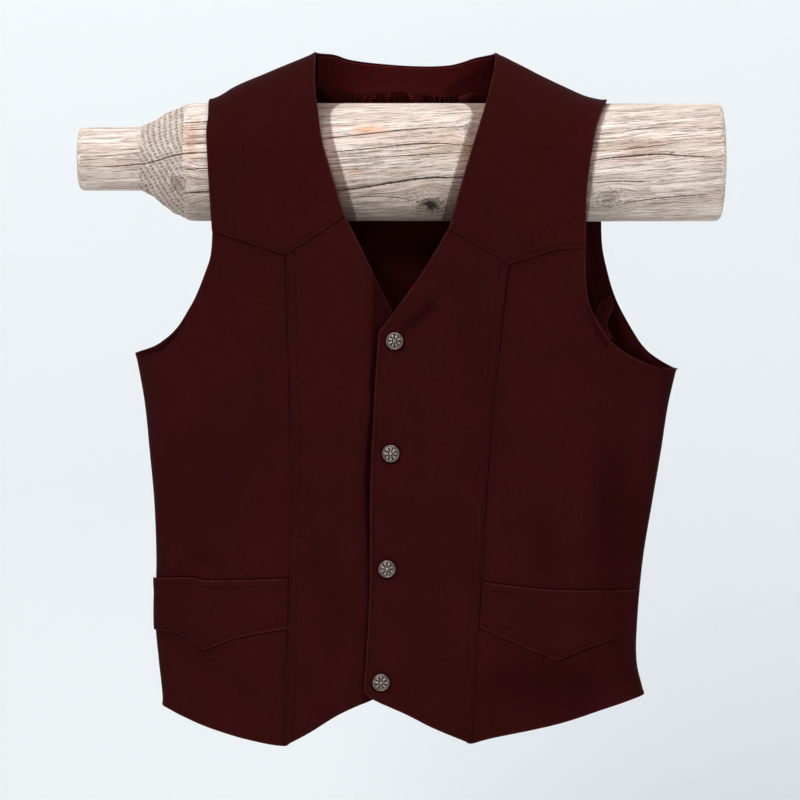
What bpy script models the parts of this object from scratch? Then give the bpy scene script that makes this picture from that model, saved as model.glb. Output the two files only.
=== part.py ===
"""Leather western vest with a V neck, hung through its armholes on a round log.

The frame: +Z is up, +Y runs from the front to the back, the origin lies on the log's axis
in the middle of the neck. Tables and sizes are in millimetres; "left" is the viewer's left.
"""
import math

import bmesh
import bpy
from mathutils import Matrix, Vector

MM = 0.001
OBJECT_NAME = "western_vest_on_log"

# Thickness of the cloth and the clearances between pieces
LEATHER = 2.0
BAND_LEATHER = 1.8
FACING_LEATHER = 1.6
LINING = 1.0
STRIP_LEATHER = 1.2
SEAM_GAP = 0.3
CROSS_SEAM_SHARE = 0.66
LAID_GAP = 0.6
FACING_GAP = 1.8
LINING_GAP = 2.4
UNDERLAP = LEATHER + 0.9

# The log, its sawn tenon on the left, and how far the shoulders clear it
LOG_RADIUS = 57.0
TENON_RADIUS = 31.0
LOG_SIDES = 40
SHOULDER_CLEARANCE = 0.9
SHOULDER_RADIUS = LOG_RADIUS + SHOULDER_CLEARANCE + LEATHER
LOG_SECTIONS = [
    # across, radius, rise of the centre
    (-316.0, TENON_RADIUS - 3.0, 3.0),
    (-313.0, TENON_RADIUS, 3.0),
    (-256.0, TENON_RADIUS, 3.0),
    (-213.0, LOG_RADIUS - 1.0, 0.0),
    (-206.0, LOG_RADIUS, 0.0),
    (303.0, LOG_RADIUS, 0.0),
    (306.0, LOG_RADIUS - 3.0, 0.0),
]

# The hanging form. Below the log the body rounds from a flat hang to a full oval.
OVAL_POWER = 2.6
FLAT_HEIGHT = -60.0
ROUND_HEIGHT = -185.3
DROP_PER_TURN = 60.0
SLOPE_STEP = 0.004
UNDERARM_LEFT = -185.3
UNDERARM_RIGHT = -200.0
BACK_DEPTH_AT_LOG = 66.0
BODY = [
    # up, half width left, half width right, depth in front, depth behind
    (0.0, 272.0, 274.0, SHOULDER_RADIUS, BACK_DEPTH_AT_LOG),
    (-60.0, 271.0, 273.0, 60.8, 64.0),
    (-120.0, 268.0, 270.0, 61.0, 60.0),
    (-160.0, 264.5, 267.0, 60.5, 57.5),
    (-185.3, 261.5, 265.0, 60.0, 56.0),
    (-200.0, 258.5, 263.4, 59.6, 54.8),
    (-235.0, 252.5, 255.5, 58.5, 53.0),
    (-280.0, 248.0, 248.5, 57.0, 50.0),
    (-330.0, 243.5, 240.0, 55.0, 47.0),
    (-385.0, 241.5, 231.0, 53.0, 44.5),
    (-445.0, 242.5, 225.5, 50.5, 42.0),
    (-485.0, 239.0, 225.0, 49.0, 40.5),
    (-520.0, 235.5, 232.5, 47.5, 39.0),
    (-565.0, 235.5, 235.0, 46.0, 37.5),
]
RIDGE = [
    # across, height of the crest over the log
    (-264.0, SHOULDER_RADIUS),
    (-196.0, SHOULDER_RADIUS),
    (-181.0, 64.5),
    (-166.0, 72.8),
    (-136.0, 86.0),
    (-105.0, 98.5),
    (-86.5, 106.8),
    (-60.0, 118.0),
    (-30.0, 129.0),
    (0.0, 134.0),
    (30.0, 130.0),
    (60.0, 118.5),
    (87.4, 106.3),
    (98.0, 102.0),
    (135.0, 83.0),
    (172.0, 65.0),
    (188.0, 60.6),
    (200.0, SHOULDER_RADIUS),
    (264.0, SHOULDER_RADIUS),
]
FOLDS = [
    # face, across and up of the start, across and up of the end, half width, height
    (-1, 14.0, -153.0, 47.0, -127.0, 12.0, -2.5),
    (-1, -229.0, -180.0, -224.0, -262.0, 18.0, 3.5),
    (-1, -206.0, -395.0, -190.0, -538.0, 21.0, 3.5),
    (-1, 214.0, -255.0, 206.0, -372.0, 24.0, -4.0),
    (-1, 140.0, -150.0, 152.0, -330.0, 28.0, 2.5),
    (-1, -150.0, -130.0, -165.0, -330.0, 26.0, -2.5),
    (1, -95.0, -90.0, -120.0, -400.0, 36.0, 4.5),
    (1, 80.0, -80.0, 105.0, -380.0, 34.0, 4.0),
    (1, 5.0, -120.0, -8.0, -470.0, 38.0, -4.5),
    (1, -196.0, -205.0, -150.0, -262.0, 26.0, -3.0),
    (1, 192.0, -215.0, 155.0, -270.0, 26.0, -3.0),
]
FOLD_FADE_START = math.radians(74)
FOLD_FADE_RUN = math.radians(15)
GATHERS = [
    # across of the pleat's crest, half width, height
    (-64.0, 4.4, 3.4),
    (-47.0, 3.8, 4.2),
    (-33.0, 3.8, 3.2),
    (-17.0, 4.1, 4.4),
    (-2.0, 3.8, 3.0),
    (13.0, 4.4, 4.5),
    (29.0, 3.8, 3.4),
    (42.0, 3.8, 4.0),
    (57.0, 4.1, 3.0),
    (71.0, 4.1, 3.8),
]
GATHER_FADE = 120.0

# The pattern's lines: each row is a turning point, across and up
SHOULDER_LEFT = (-190.0, -86.5)
SHOULDER_RIGHT = (87.4, 196.0)
ARMHOLE_LEFT_HIGH = [(-188.5, 42.0), (-189.5, 25.0), (-188.5, 5.0), (-185.5, -45.0), (-183.5, -71.0)]
ARMHOLE_LEFT_LOW = [
    (-183.5, -71.0), (-184.5, -92.0), (-189.5, -108.0), (-199.0, -130.0),
    (-210.5, -158.0), (-226.0, -176.0), (-245.0, -183.5), (-261.5, UNDERARM_LEFT),
]
ARMHOLE_RIGHT_HIGH = [(189.0, 48.0), (182.0, 28.0), (176.0, -4.0), (172.5, -38.0), (171.5, -86.0)]
ARMHOLE_RIGHT_LOW = [
    (171.5, -86.0), (172.0, -116.0), (175.5, -140.0), (187.0, -162.0),
    (198.0, -178.0), (213.0, -189.5), (233.0, -198.5), (263.4, UNDERARM_RIGHT),
]
NECK_LEFT_HIGH = [(-86.0, 71.0), (-83.0, 45.0), (-79.0, 16.0), (-72.0, -9.0), (-58.0, -56.0)]
NECK_LEFT_LOW = [(-58.0, -56.0), (-50.0, -70.0), (-36.0, -98.0), (-12.5, -145.5), (4.0, -168.0)]
NECK_RIGHT_HIGH = [(86.0, 91.0), (82.0, 72.0), (75.0, 46.0), (56.0, -16.0), (41.5, -68.5)]
NECK_RIGHT_LOW = [(41.5, -68.5), (29.0, -89.0), (12.0, -116.0), (-6.0, -141.0), (-25.0, -166.5)]
FRONT_EDGE_RIGHT = [(-25.0, -166.5), (-28.5, -215.0), (-33.0, -310.0), (-34.0, -420.0), (-39.5, -510.0)]
OVERLAP_WIDTH = 31.0
UNDERLAP_START = 26.0
UNDERLAP_RUN = 20.0
YOKE_SEAM_LEFT_OUTER = [(-183.5, -71.0), (-145.5, -83.0), (-114.0, -93.5)]
YOKE_SEAM_LEFT_INNER = [(-114.0, -93.5), (-86.0, -75.5), (-58.0, -56.0)]
YOKE_SEAM_RIGHT_INNER = [(41.5, -68.5), (69.0, -84.0), (99.6, -102.0)]
YOKE_SEAM_RIGHT_OUTER = [(99.6, -102.0), (118.0, -96.5), (143.0, -89.0), (171.5, -86.0)]
PRINCESS_LEFT = [(-114.0, -93.5), (-111.5, -160.0), (-109.5, -279.0), (-110.7, -401.0), (-115.5, -562.0)]
PRINCESS_RIGHT = [(99.6, -102.0), (91.5, -160.0), (80.0, -280.0), (72.5, -400.0), (63.0, -559.5)]
HEM_LEFT_OUTER = [(-235.5, -526.5), (-218.0, -533.5), (-170.0, -551.0), (-138.0, -559.0), (-115.5, -562.0)]
HEM_LEFT_INNER = [(-115.5, -562.0), (-92.0, -549.5), (-62.0, -531.0), (-34.0, -519.0), (-8.5, -508.0)]
HEM_RIGHT_INNER = [(-39.5, -510.0), (-29.0, -518.0), (0.0, -531.0), (28.0, -545.0), (63.0, -559.5)]
HEM_RIGHT_OUTER = [(63.0, -559.5), (84.0, -554.0), (143.0, -542.0), (190.0, -528.0), (232.5, -515.5)]
HEM_BACK = [(-235.5, -526.5), (-120.0, -525.5), (0.0, -524.0), (120.0, -521.0), (232.5, -515.5)]
BACK_ARMHOLE_LEFT_HIGH = [(-190.0, 30.0), (-189.0, -10.0)]
BACK_ARMHOLE_LEFT_LOW = [
    (-189.0, -10.0), (-187.0, -70.0), (-192.0, -105.0), (-202.5, -130.0),
    (-217.0, -148.0), (-230.0, -164.0), (-244.0, -177.0), (-261.5, UNDERARM_LEFT),
]
BACK_ARMHOLE_RIGHT_HIGH = [(197.5, 30.0), (196.5, -10.0)]
BACK_ARMHOLE_RIGHT_LOW = [
    (196.5, -10.0), (195.5, -70.0), (201.0, -104.0), (210.0, -134.0),
    (226.0, -165.0), (237.0, -181.0), (249.0, -191.0), (263.4, UNDERARM_RIGHT),
]
BACK_NECK = [
    (-70.0, 107.3), (-54.0, 103.5), (-30.0, 101.0), (12.0, 98.7),
    (39.0, 98.7), (54.0, 100.8), (70.0, 104.8),
]
FACING_LOWER = [
    (-87.0, 84.0), (-67.0, 78.0), (-47.0, 72.0), (-5.0, 75.0),
    (38.0, 70.0), (67.0, 74.5), (87.5, 80.0),
]
FACING_TOP_DROP = 0.8
LINING_SHOULDER_LEFT = [(-168.0, 22.0), (-135.0, 42.0), (-106.0, 66.0)]
LINING_SHOULDER_RIGHT = [(106.0, 64.0), (138.0, 40.0), (172.0, 22.0)]
LINING_INSET = (11.0, 8.0)
LINING_HEM = -500.0
LINING_SIDE_INSET = 16.0
BAND_LEFT_TOP = [(-241.8, -403.0), (-205.0, -400.6), (-182.0, -403.5), (-111.8, -401.2)]
BAND_LEFT_LOWER_OUTER = [(-242.2, -453.0), (-214.0, -456.5), (-192.0, -470.5)]
BAND_LEFT_LOWER_INNER = [(-192.0, -470.5), (-160.0, -458.5), (-112.0, -449.0)]
BAND_RIGHT_TOP = [(73.8, -404.5), (108.5, -409.0), (150.0, -412.5), (228.0, -413.7)]
BAND_RIGHT_LOWER_INNER = [(70.8, -448.0), (107.0, -463.5), (146.0, -480.5)]
BAND_RIGHT_LOWER_OUTER = [(146.0, -480.5), (178.0, -468.0), (225.2, -456.5)]
ARMHOLE_FACING = [
    # centre across, centre depth, centre up, half width across, half width depth, half width up
    (192.0, -45.4, -171.0, 4.1, 1.5, 1.2),
    (188.0, -43.2, -159.0, 4.6, 1.6, 1.2),
    (187.5, -31.0, -147.0, 4.8, 2.0, 1.0),
    (190.5, -11.0, -137.0, 4.6, 2.0, 1.0),
    (197.0, 12.0, -131.0, 3.6, 3.4, 0.6),
    (203.0, 31.0, -130.0, 2.0, 4.0, -1.2),
    (204.5, 40.5, -135.0, 1.0, 2.5, -3.4),
]

# Snap caps down the front edge
SNAPS = [
    # across, up
    (-10.1, -175.0),
    (-13.7, -282.0),
    (-17.3, -392.0),
    (-23.0, -500.5),
]
SNAP_PROFILE = [
    # radius, height
    (0.0, 3.6), (3.0, 3.4), (5.6, 2.7), (7.4, 1.9), (8.4, 1.0), (8.2, 0.3), (7.4, 0.0), (0.0, 0.0),
]
SNAP_STEPS = 20
SNAP_GAP = 0.4

# How finely the walls are divided
YOKE_ROWS = 13
OUTER_COLUMNS = 10
INNER_COLUMNS = 8
ARMHOLE_ROWS = 6
BODY_ROWS = 12
SAMPLES_PER_SPAN = 10

LEATHER_FINISH = ("leather_maroon", (0.037, 0.0052, 0.006), 0.72, 0.0)
LINING_FINISH = ("lining_maroon", (0.018, 0.0030, 0.0038), 0.45, 0.0)
WOOD_FINISH = ("weathered_wood", (0.62, 0.50, 0.44), 0.85, 0.0)
METAL_FINISH = ("antique_silver", (0.52, 0.48, 0.44), 0.38, 1.0)


def start_scene():
    """Clear the scene and return the collection that holds the object."""
    for leftover in list(bpy.data.objects):
        bpy.data.objects.remove(leftover)
    collection = bpy.data.collections.new(OBJECT_NAME)
    bpy.context.scene.collection.children.link(collection)
    return collection


def finish_material(node_name, finish):
    """A Principled material of the sub-part's own, with the finish's colour and gloss."""
    name, colour, roughness, metallic = finish
    material = bpy.data.materials.new(f"{name}_{node_name}")
    material.use_nodes = True
    shader = material.node_tree.nodes["Principled BSDF"]
    shader.inputs["Base Color"].default_value = (*colour, 1.0)
    shader.inputs["Roughness"].default_value = roughness
    shader.inputs["Metallic"].default_value = metallic
    material.diffuse_color = (*colour, 1.0)
    return material


def table_value(rows, at, column):
    """Smooth value of one column, between the two rows that the first column puts it in."""
    ordered = sorted(rows)
    if at <= ordered[0][0]:
        return ordered[0][column]
    if at >= ordered[-1][0]:
        return ordered[-1][column]
    index = max(i for i, row in enumerate(ordered) if row[0] <= at)
    low, high = ordered[index], ordered[index + 1]
    before = ordered[max(index - 1, 0)]
    after = ordered[min(index + 2, len(ordered) - 1)]
    span = high[0] - low[0]
    share = (at - low[0]) / span
    slope_low = (high[column] - before[column]) / (high[0] - before[0]) * span
    slope_high = (after[column] - low[column]) / (after[0] - low[0]) * span
    cube, square = share ** 3, share ** 2
    return (
        (2 * cube - 3 * square + 1) * low[column]
        + (cube - 2 * square + share) * slope_low
        + (3 * square - 2 * cube) * high[column]
        + (cube - square) * slope_high
    )


def smooth_step(share):
    share = min(max(share, 0.0), 1.0)
    return share * share * (3 - 2 * share)


def half_width(hand, up):
    """Distance from the centre line to the side seam; hand is -1 on the left, +1 on the right."""
    return table_value(BODY, up, 1 if hand < 0 else 2)


def form_place(across, up):
    """Angles on the form: how far round from the centre line, and how far over the log."""
    width = half_width(across, up)
    around = math.asin(min(max(across / width, -1.0), 1.0))
    if up < 0:
        return around, up / DROP_PER_TURN
    crest = table_value(RIDGE, across, 1)
    return around, math.asin(min(up / crest, 1.0))


def form_point(face, around, over):
    """Point of the hanging form; face is -1 in front and +1 behind."""
    up = min(over, 0.0) * DROP_PER_TURN
    across = half_width(around, up) * math.sin(around)
    depth = table_value(BODY, up, 3 if face < 0 else 4)
    if over > 0:
        up = table_value(RIDGE, across, 1) * math.sin(over)
        reach = math.cos(over)
    else:
        fullness = 1 - abs(math.sin(around)) ** OVAL_POWER
        oval = math.copysign(max(fullness, 0.0) ** (1 / OVAL_POWER), math.cos(around))
        rounding = smooth_step((FLAT_HEIGHT - up) / (FLAT_HEIGHT - ROUND_HEIGHT))
        reach = 1 - rounding * (1 - oval)
    half_seam = SEAM_GAP / 2
    return Vector((across, face * (half_seam + (depth - half_seam) * reach), up))


def form_normal(face, around, over):
    """Direction out of the cloth, from the form's own slopes."""
    sideways = form_point(face, around + SLOPE_STEP, over) - form_point(face, around - SLOPE_STEP, over)
    upwards = form_point(face, around, over + SLOPE_STEP) - form_point(face, around, over - SLOPE_STEP)
    return (sideways.cross(upwards) * -face).normalized()


def fold_height(face, point):
    """How far the soft folds lift the cloth at a point."""
    total = 0.0
    for fold_face, x0, z0, x1, z1, breadth, height in FOLDS:
        if fold_face != face:
            continue
        start, end = Vector((x0, z0)), Vector((x1, z1))
        place = Vector((point.x, point.z))
        along = (place - start).dot(end - start) / (end - start).length_squared
        nearest = start.lerp(end, min(max(along, 0.0), 1.0))
        total += height * math.exp(-((place - nearest).length / breadth) ** 2)
    return total


def cloth_point(face, around, over, lift):
    """Point of the cloth, lifted off the form along its normal."""
    point = form_point(face, around, over)
    side_fade = 1 - smooth_step((abs(around) - FOLD_FADE_START) / FOLD_FADE_RUN)
    total = lift + fold_height(face, point) * side_fade
    return point + form_normal(face, around, over) * total


def smooth_line(points):
    """Dense points of a smooth line through the pattern's turning points."""
    line = []
    for index in range(len(points) - 1):
        before = Vector(points[max(index - 1, 0)])
        start, end = Vector(points[index]), Vector(points[index + 1])
        after = Vector(points[min(index + 2, len(points) - 1)])
        slope_start = (end - before) / 2
        slope_end = (after - start) / 2
        for step in range(SAMPLES_PER_SPAN):
            t = step / SAMPLES_PER_SPAN
            line.append(
                start * (2 * t ** 3 - 3 * t ** 2 + 1)
                + slope_start * (t ** 3 - 2 * t ** 2 + t)
                + end * (3 * t ** 2 - 2 * t ** 3)
                + slope_end * (t ** 3 - t ** 2)
            )
    line.append(Vector(points[-1]))
    return line


def shoulder_line(start, end):
    """The crest over the log between two places across."""
    count = 3 * SAMPLES_PER_SPAN
    places = [start + (end - start) * i / count for i in range(count + 1)]
    return [Vector((across, table_value(RIDGE, across, 1))) for across in places]


def side_line(hand, top, bottom, inset=0.0):
    """The side seam between two heights."""
    count = 4 * SAMPLES_PER_SPAN
    heights = [top + (bottom - top) * i / count for i in range(count + 1)]
    return [Vector((hand * (half_width(hand, up) - inset), up)) for up in heights]


def spaced(face, line, count):
    """Places on the form, evenly spaced along the cloth, at count + 1 points of a line."""
    places = [form_place(*point) for point in line]
    points = [form_point(face, *place) for place in places]
    lengths = [0.0]
    for first, second in zip(points, points[1:]):
        lengths.append(lengths[-1] + (second - first).length)
    result = []
    index = 0
    for step in range(count + 1):
        target = lengths[-1] * step / count
        while index < len(lengths) - 2 and lengths[index + 1] < target:
            index += 1
        span = lengths[index + 1] - lengths[index]
        share = (target - lengths[index]) / span if span else 0.0
        first, second = places[index], places[index + 1]
        result.append(tuple(a + (b - a) * share for a, b in zip(first, second)))
    return result


def joined(face, *stretches):
    """One edge of a panel from stretches of line, each with its own number of divisions."""
    edge = []
    for line, count in stretches:
        places = spaced(face, line, count)
        edge += places if not edge else places[1:]
    return edge


def panel_places(top, bottom, left, right, seams=""):
    """Rows of places that fill four edges; seam edges draw back by half the gap."""
    rows = []
    columns, depth = len(top) - 1, len(left) - 1
    for j in range(depth + 1):
        b = j / depth
        row = []
        for i in range(columns + 1):
            a = i / columns
            place = []
            for axis in range(2):
                edges = (1 - b) * top[i][axis] + b * bottom[i][axis]
                edges += (1 - a) * left[j][axis] + a * right[j][axis]
                corners = (1 - b) * ((1 - a) * top[0][axis] + a * top[-1][axis])
                corners += b * ((1 - a) * bottom[0][axis] + a * bottom[-1][axis])
                place.append(edges - corners)
            around, over = place
            width = half_width(around, min(over, 0.0) * DROP_PER_TURN)
            back_off = SEAM_GAP / 2 / (width * max(math.cos(around), 0.1))
            if i == 0 and "left" in seams:
                around += back_off
            if i == columns and "right" in seams:
                around -= back_off
            if j == 0 and "top" in seams:
                over -= CROSS_SEAM_SHARE * SEAM_GAP / DROP_PER_TURN
            if j == depth and "bottom" in seams:
                over += CROSS_SEAM_SHARE * SEAM_GAP / DROP_PER_TURN
            row.append((around, over))
        rows.append(row)
    return rows


def wall_object(collection, name, finish, outer, inner):
    """Closed wall from two grids of points: the outer face, the inner face and the rim between."""
    mesh_data = bmesh.new()
    sheets = []
    for grid in (outer, inner):
        sheets.append([[mesh_data.verts.new(point * MM) for point in row] for row in grid])
    rows, columns = len(outer), len(outer[0])
    for sheet in sheets:
        for j in range(rows - 1):
            for i in range(columns - 1):
                corners = (sheet[j][i], sheet[j][i + 1], sheet[j + 1][i + 1], sheet[j + 1][i])
                mesh_data.faces.new(corners)
    rims = [edge for edge in mesh_data.edges if edge.is_boundary]
    bmesh.ops.bridge_loops(mesh_data, edges=rims)
    bmesh.ops.recalc_face_normals(mesh_data, faces=mesh_data.faces[:])
    return mesh_object(collection, name, finish, mesh_data)


def mesh_object(collection, name, finish, mesh_data):
    """Turn a bmesh into a smooth-shaded object of the collection."""
    mesh = bpy.data.meshes.new(name)
    mesh_data.to_mesh(mesh)
    mesh_data.free()
    mesh.shade_smooth()
    mesh.set_sharp_from_angle(angle=math.radians(40))
    mesh.materials.append(finish_material(name, finish))
    part = bpy.data.objects.new(name, mesh)
    collection.objects.link(part)
    return part


def cloth_object(collection, name, finish, face, places, wall, lift=None, outer_lift=0.0):
    """A piece of cloth: its outer face at outer_lift, its inner face one wall further in."""
    faces = []
    for depth in (outer_lift, outer_lift - wall):
        grid = []
        for row in places:
            points = []
            for around, over in row:
                extra = lift(form_point(face, around, over)) if lift else 0.0
                points.append(cloth_point(face, around, over, depth + extra))
            grid.append(points)
        faces.append(grid)
    return wall_object(collection, name, finish, faces[0], faces[1])


def build_yokes(collection):
    """Pointed front yokes, from the shoulder crest down to the yoke seam."""
    left_places = panel_places(
        top=joined(-1, (shoulder_line(*SHOULDER_LEFT), OUTER_COLUMNS + INNER_COLUMNS)),
        bottom=joined(
            -1,
            (smooth_line(YOKE_SEAM_LEFT_OUTER), OUTER_COLUMNS),
            (smooth_line(YOKE_SEAM_LEFT_INNER), INNER_COLUMNS),
        ),
        left=joined(-1, (from_crest(SHOULDER_LEFT[0], ARMHOLE_LEFT_HIGH), YOKE_ROWS)),
        right=joined(-1, (from_crest(SHOULDER_LEFT[1], NECK_LEFT_HIGH), YOKE_ROWS)),
        seams="bottom",
    )
    right_places = panel_places(
        top=joined(-1, (shoulder_line(*SHOULDER_RIGHT), OUTER_COLUMNS + INNER_COLUMNS)),
        bottom=joined(
            -1,
            (smooth_line(YOKE_SEAM_RIGHT_INNER), INNER_COLUMNS),
            (smooth_line(YOKE_SEAM_RIGHT_OUTER), OUTER_COLUMNS),
        ),
        left=joined(-1, (from_crest(SHOULDER_RIGHT[0], NECK_RIGHT_HIGH), YOKE_ROWS)),
        right=joined(-1, (from_crest(SHOULDER_RIGHT[1], ARMHOLE_RIGHT_HIGH), YOKE_ROWS)),
        seams="bottom",
    )
    cloth_object(collection, "yoke_left", LEATHER_FINISH, -1, left_places, LEATHER)
    cloth_object(collection, "yoke_right", LEATHER_FINISH, -1, right_places, LEATHER)


def from_crest(across, line):
    """A line that starts on the shoulder crest."""
    crest = (across, table_value(RIDGE, across, 1))
    return smooth_line([crest] + line)


def build_side_fronts(collection):
    """Side fronts, from the armhole and side seam to the princess seam."""
    body = ARMHOLE_ROWS + BODY_ROWS
    left_places = panel_places(
        top=joined(-1, (smooth_line(YOKE_SEAM_LEFT_OUTER), OUTER_COLUMNS)),
        bottom=joined(-1, (smooth_line(HEM_LEFT_OUTER), OUTER_COLUMNS)),
        left=joined(
            -1,
            (smooth_line(ARMHOLE_LEFT_LOW), ARMHOLE_ROWS),
            (side_line(-1, UNDERARM_LEFT, HEM_LEFT_OUTER[0][1]), BODY_ROWS),
        ),
        right=joined(-1, (smooth_line(PRINCESS_LEFT), body)),
        seams="top right",
    )
    right_places = panel_places(
        top=joined(-1, (smooth_line(YOKE_SEAM_RIGHT_OUTER), OUTER_COLUMNS)),
        bottom=joined(-1, (smooth_line(HEM_RIGHT_OUTER), OUTER_COLUMNS)),
        left=joined(-1, (smooth_line(PRINCESS_RIGHT), body)),
        right=joined(
            -1,
            (smooth_line(ARMHOLE_RIGHT_LOW), ARMHOLE_ROWS),
            (side_line(1, UNDERARM_RIGHT, HEM_RIGHT_OUTER[-1][1]), BODY_ROWS),
        ),
        seams="top left",
    )
    cloth_object(collection, "side_front_left", LEATHER_FINISH, -1, left_places, LEATHER)
    cloth_object(collection, "side_front_right", LEATHER_FINISH, -1, right_places, LEATHER)


def front_edge_across(up):
    """Across place of the upper front's edge, from its heights."""
    rows = [(height, across) for across, height in FRONT_EDGE_RIGHT]
    return table_value(rows, up, 1)


def underlap_lift(point):
    """The left front sinks under the right front where they overlap."""
    inside = point.x - front_edge_across(point.z) + UNDERLAP_START
    return -UNDERLAP * smooth_step(inside / UNDERLAP_RUN)


def build_centre_fronts(collection):
    """Centre fronts between the princess seams; the right one lies over the left one."""
    body = ARMHOLE_ROWS + BODY_ROWS
    neck_rows = 6
    hidden_edge = [NECK_LEFT_LOW[-1]]
    hidden_edge += [(across + OVERLAP_WIDTH, up) for across, up in FRONT_EDGE_RIGHT[1:-1]]
    hidden_edge += [HEM_LEFT_INNER[-1]]
    left_places = panel_places(
        top=joined(-1, (smooth_line(YOKE_SEAM_LEFT_INNER), INNER_COLUMNS + 2)),
        bottom=joined(-1, (smooth_line(HEM_LEFT_INNER), INNER_COLUMNS + 2)),
        left=joined(-1, (smooth_line(PRINCESS_LEFT), body)),
        right=joined(
            -1,
            (smooth_line(NECK_LEFT_LOW), neck_rows),
            (smooth_line(hidden_edge), body - neck_rows),
        ),
        seams="top left",
    )
    right_places = panel_places(
        top=joined(-1, (smooth_line(YOKE_SEAM_RIGHT_INNER), INNER_COLUMNS)),
        bottom=joined(-1, (smooth_line(HEM_RIGHT_INNER), INNER_COLUMNS)),
        left=joined(
            -1,
            (smooth_line(NECK_RIGHT_LOW), neck_rows),
            (smooth_line(FRONT_EDGE_RIGHT), body - neck_rows),
        ),
        right=joined(-1, (smooth_line(PRINCESS_RIGHT), body)),
        seams="top right",
    )
    cloth_object(
        collection, "centre_front_left", LEATHER_FINISH, -1, left_places, LEATHER, lift=underlap_lift
    )
    cloth_object(collection, "centre_front_right", LEATHER_FINISH, -1, right_places, LEATHER)


def build_back(collection):
    """The back in one piece, with its neck facing and its gathered lining."""
    shoulder_columns = 8
    neck_columns = 12
    crest_rows = 9
    arm_rows = 8
    body_rows = 11
    neck_line = smooth_line(
        [(SHOULDER_LEFT[1], table_value(RIDGE, SHOULDER_LEFT[1], 1))]
        + BACK_NECK
        + [(SHOULDER_RIGHT[0], table_value(RIDGE, SHOULDER_RIGHT[0], 1))]
    )
    columns = 2 * shoulder_columns + neck_columns
    back_places = panel_places(
        top=joined(
            1,
            (shoulder_line(*SHOULDER_LEFT), shoulder_columns),
            (neck_line, neck_columns),
            (shoulder_line(*SHOULDER_RIGHT), shoulder_columns),
        ),
        bottom=joined(1, (smooth_line(HEM_BACK), columns)),
        left=joined(
            1,
            (from_crest(SHOULDER_LEFT[0], BACK_ARMHOLE_LEFT_HIGH), crest_rows),
            (smooth_line(BACK_ARMHOLE_LEFT_LOW), arm_rows),
            (side_line(-1, UNDERARM_LEFT, HEM_BACK[0][1]), body_rows),
        ),
        right=joined(
            1,
            (from_crest(SHOULDER_RIGHT[1], BACK_ARMHOLE_RIGHT_HIGH), crest_rows),
            (smooth_line(BACK_ARMHOLE_RIGHT_LOW), arm_rows),
            (side_line(1, UNDERARM_RIGHT, HEM_BACK[-1][1]), body_rows),
        ),
    )
    cloth_object(collection, "back", LEATHER_FINISH, 1, back_places, LEATHER)

    facing_columns = neck_columns
    facing_rows = 5
    lowered_neck = [point - Vector((0.0, FACING_TOP_DROP)) for point in neck_line]
    left_end = [lowered_neck[0], Vector(FACING_LOWER[0])]
    right_end = [lowered_neck[-1], Vector(FACING_LOWER[-1])]
    facing_places = panel_places(
        top=joined(1, (lowered_neck, facing_columns)),
        bottom=joined(1, (smooth_line(FACING_LOWER), facing_columns)),
        left=joined(1, (smooth_line(left_end), facing_rows)),
        right=joined(1, (smooth_line(right_end), facing_rows)),
    )
    cloth_object(
        collection, "back_neck_facing", LEATHER_FINISH, 1, facing_places, FACING_LEATHER,
        outer_lift=-LEATHER - FACING_GAP,
    )


def gather_lift(point):
    """Pleats of the lining, deepest at the facing and gone well below the log."""
    fade = smooth_step((point.z + GATHER_FADE / 2) / GATHER_FADE)
    total = 0.0
    for across, breadth, height in GATHERS:
        total += height * math.exp(-((point.x - across) / breadth) ** 2)
    return -total * fade


def lining_edge(hand, shoulder, armhole, underarm):
    """Side edge of the lining: inside the armhole, then inside the side seam."""
    inset, drop = LINING_INSET
    moved = [(across - hand * inset, up - drop) for across, up in armhole[:-1]]
    side = side_line(hand, underarm - drop, LINING_HEM, inset=LINING_SIDE_INSET)
    return [
        (smooth_line([shoulder, moved[0]]), 4),
        (smooth_line(moved + [tuple(side[0])]), 6),
        (side, 5),
    ]


def build_lining(collection):
    """Back lining, sewn to the facing's lower edge in small pleats."""
    pleat_columns = 44
    shoulder_columns = 4
    seam_line = [point - Vector((0.0, SEAM_GAP)) for point in smooth_line(FACING_LOWER)]
    left_shoulder = smooth_line(LINING_SHOULDER_LEFT + [tuple(seam_line[0])])
    right_shoulder = smooth_line([tuple(seam_line[-1])] + LINING_SHOULDER_RIGHT)
    left = lining_edge(-1, LINING_SHOULDER_LEFT[0], BACK_ARMHOLE_LEFT_LOW, UNDERARM_LEFT)
    right = lining_edge(1, LINING_SHOULDER_RIGHT[-1], BACK_ARMHOLE_RIGHT_LOW, UNDERARM_RIGHT)
    hem = [left[-1][0][-1], Vector((0.0, LINING_HEM)), right[-1][0][-1]]
    places = panel_places(
        top=joined(
            1,
            (left_shoulder, shoulder_columns),
            (seam_line, pleat_columns),
            (right_shoulder, shoulder_columns),
        ),
        bottom=joined(1, (smooth_line(hem), pleat_columns + 2 * shoulder_columns)),
        left=joined(1, *left),
        right=joined(1, *right),
    )
    cloth_object(
        collection, "back_lining", LINING_FINISH, 1, places, LINING,
        lift=gather_lift, outer_lift=-LEATHER - LINING_GAP,
    )


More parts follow.
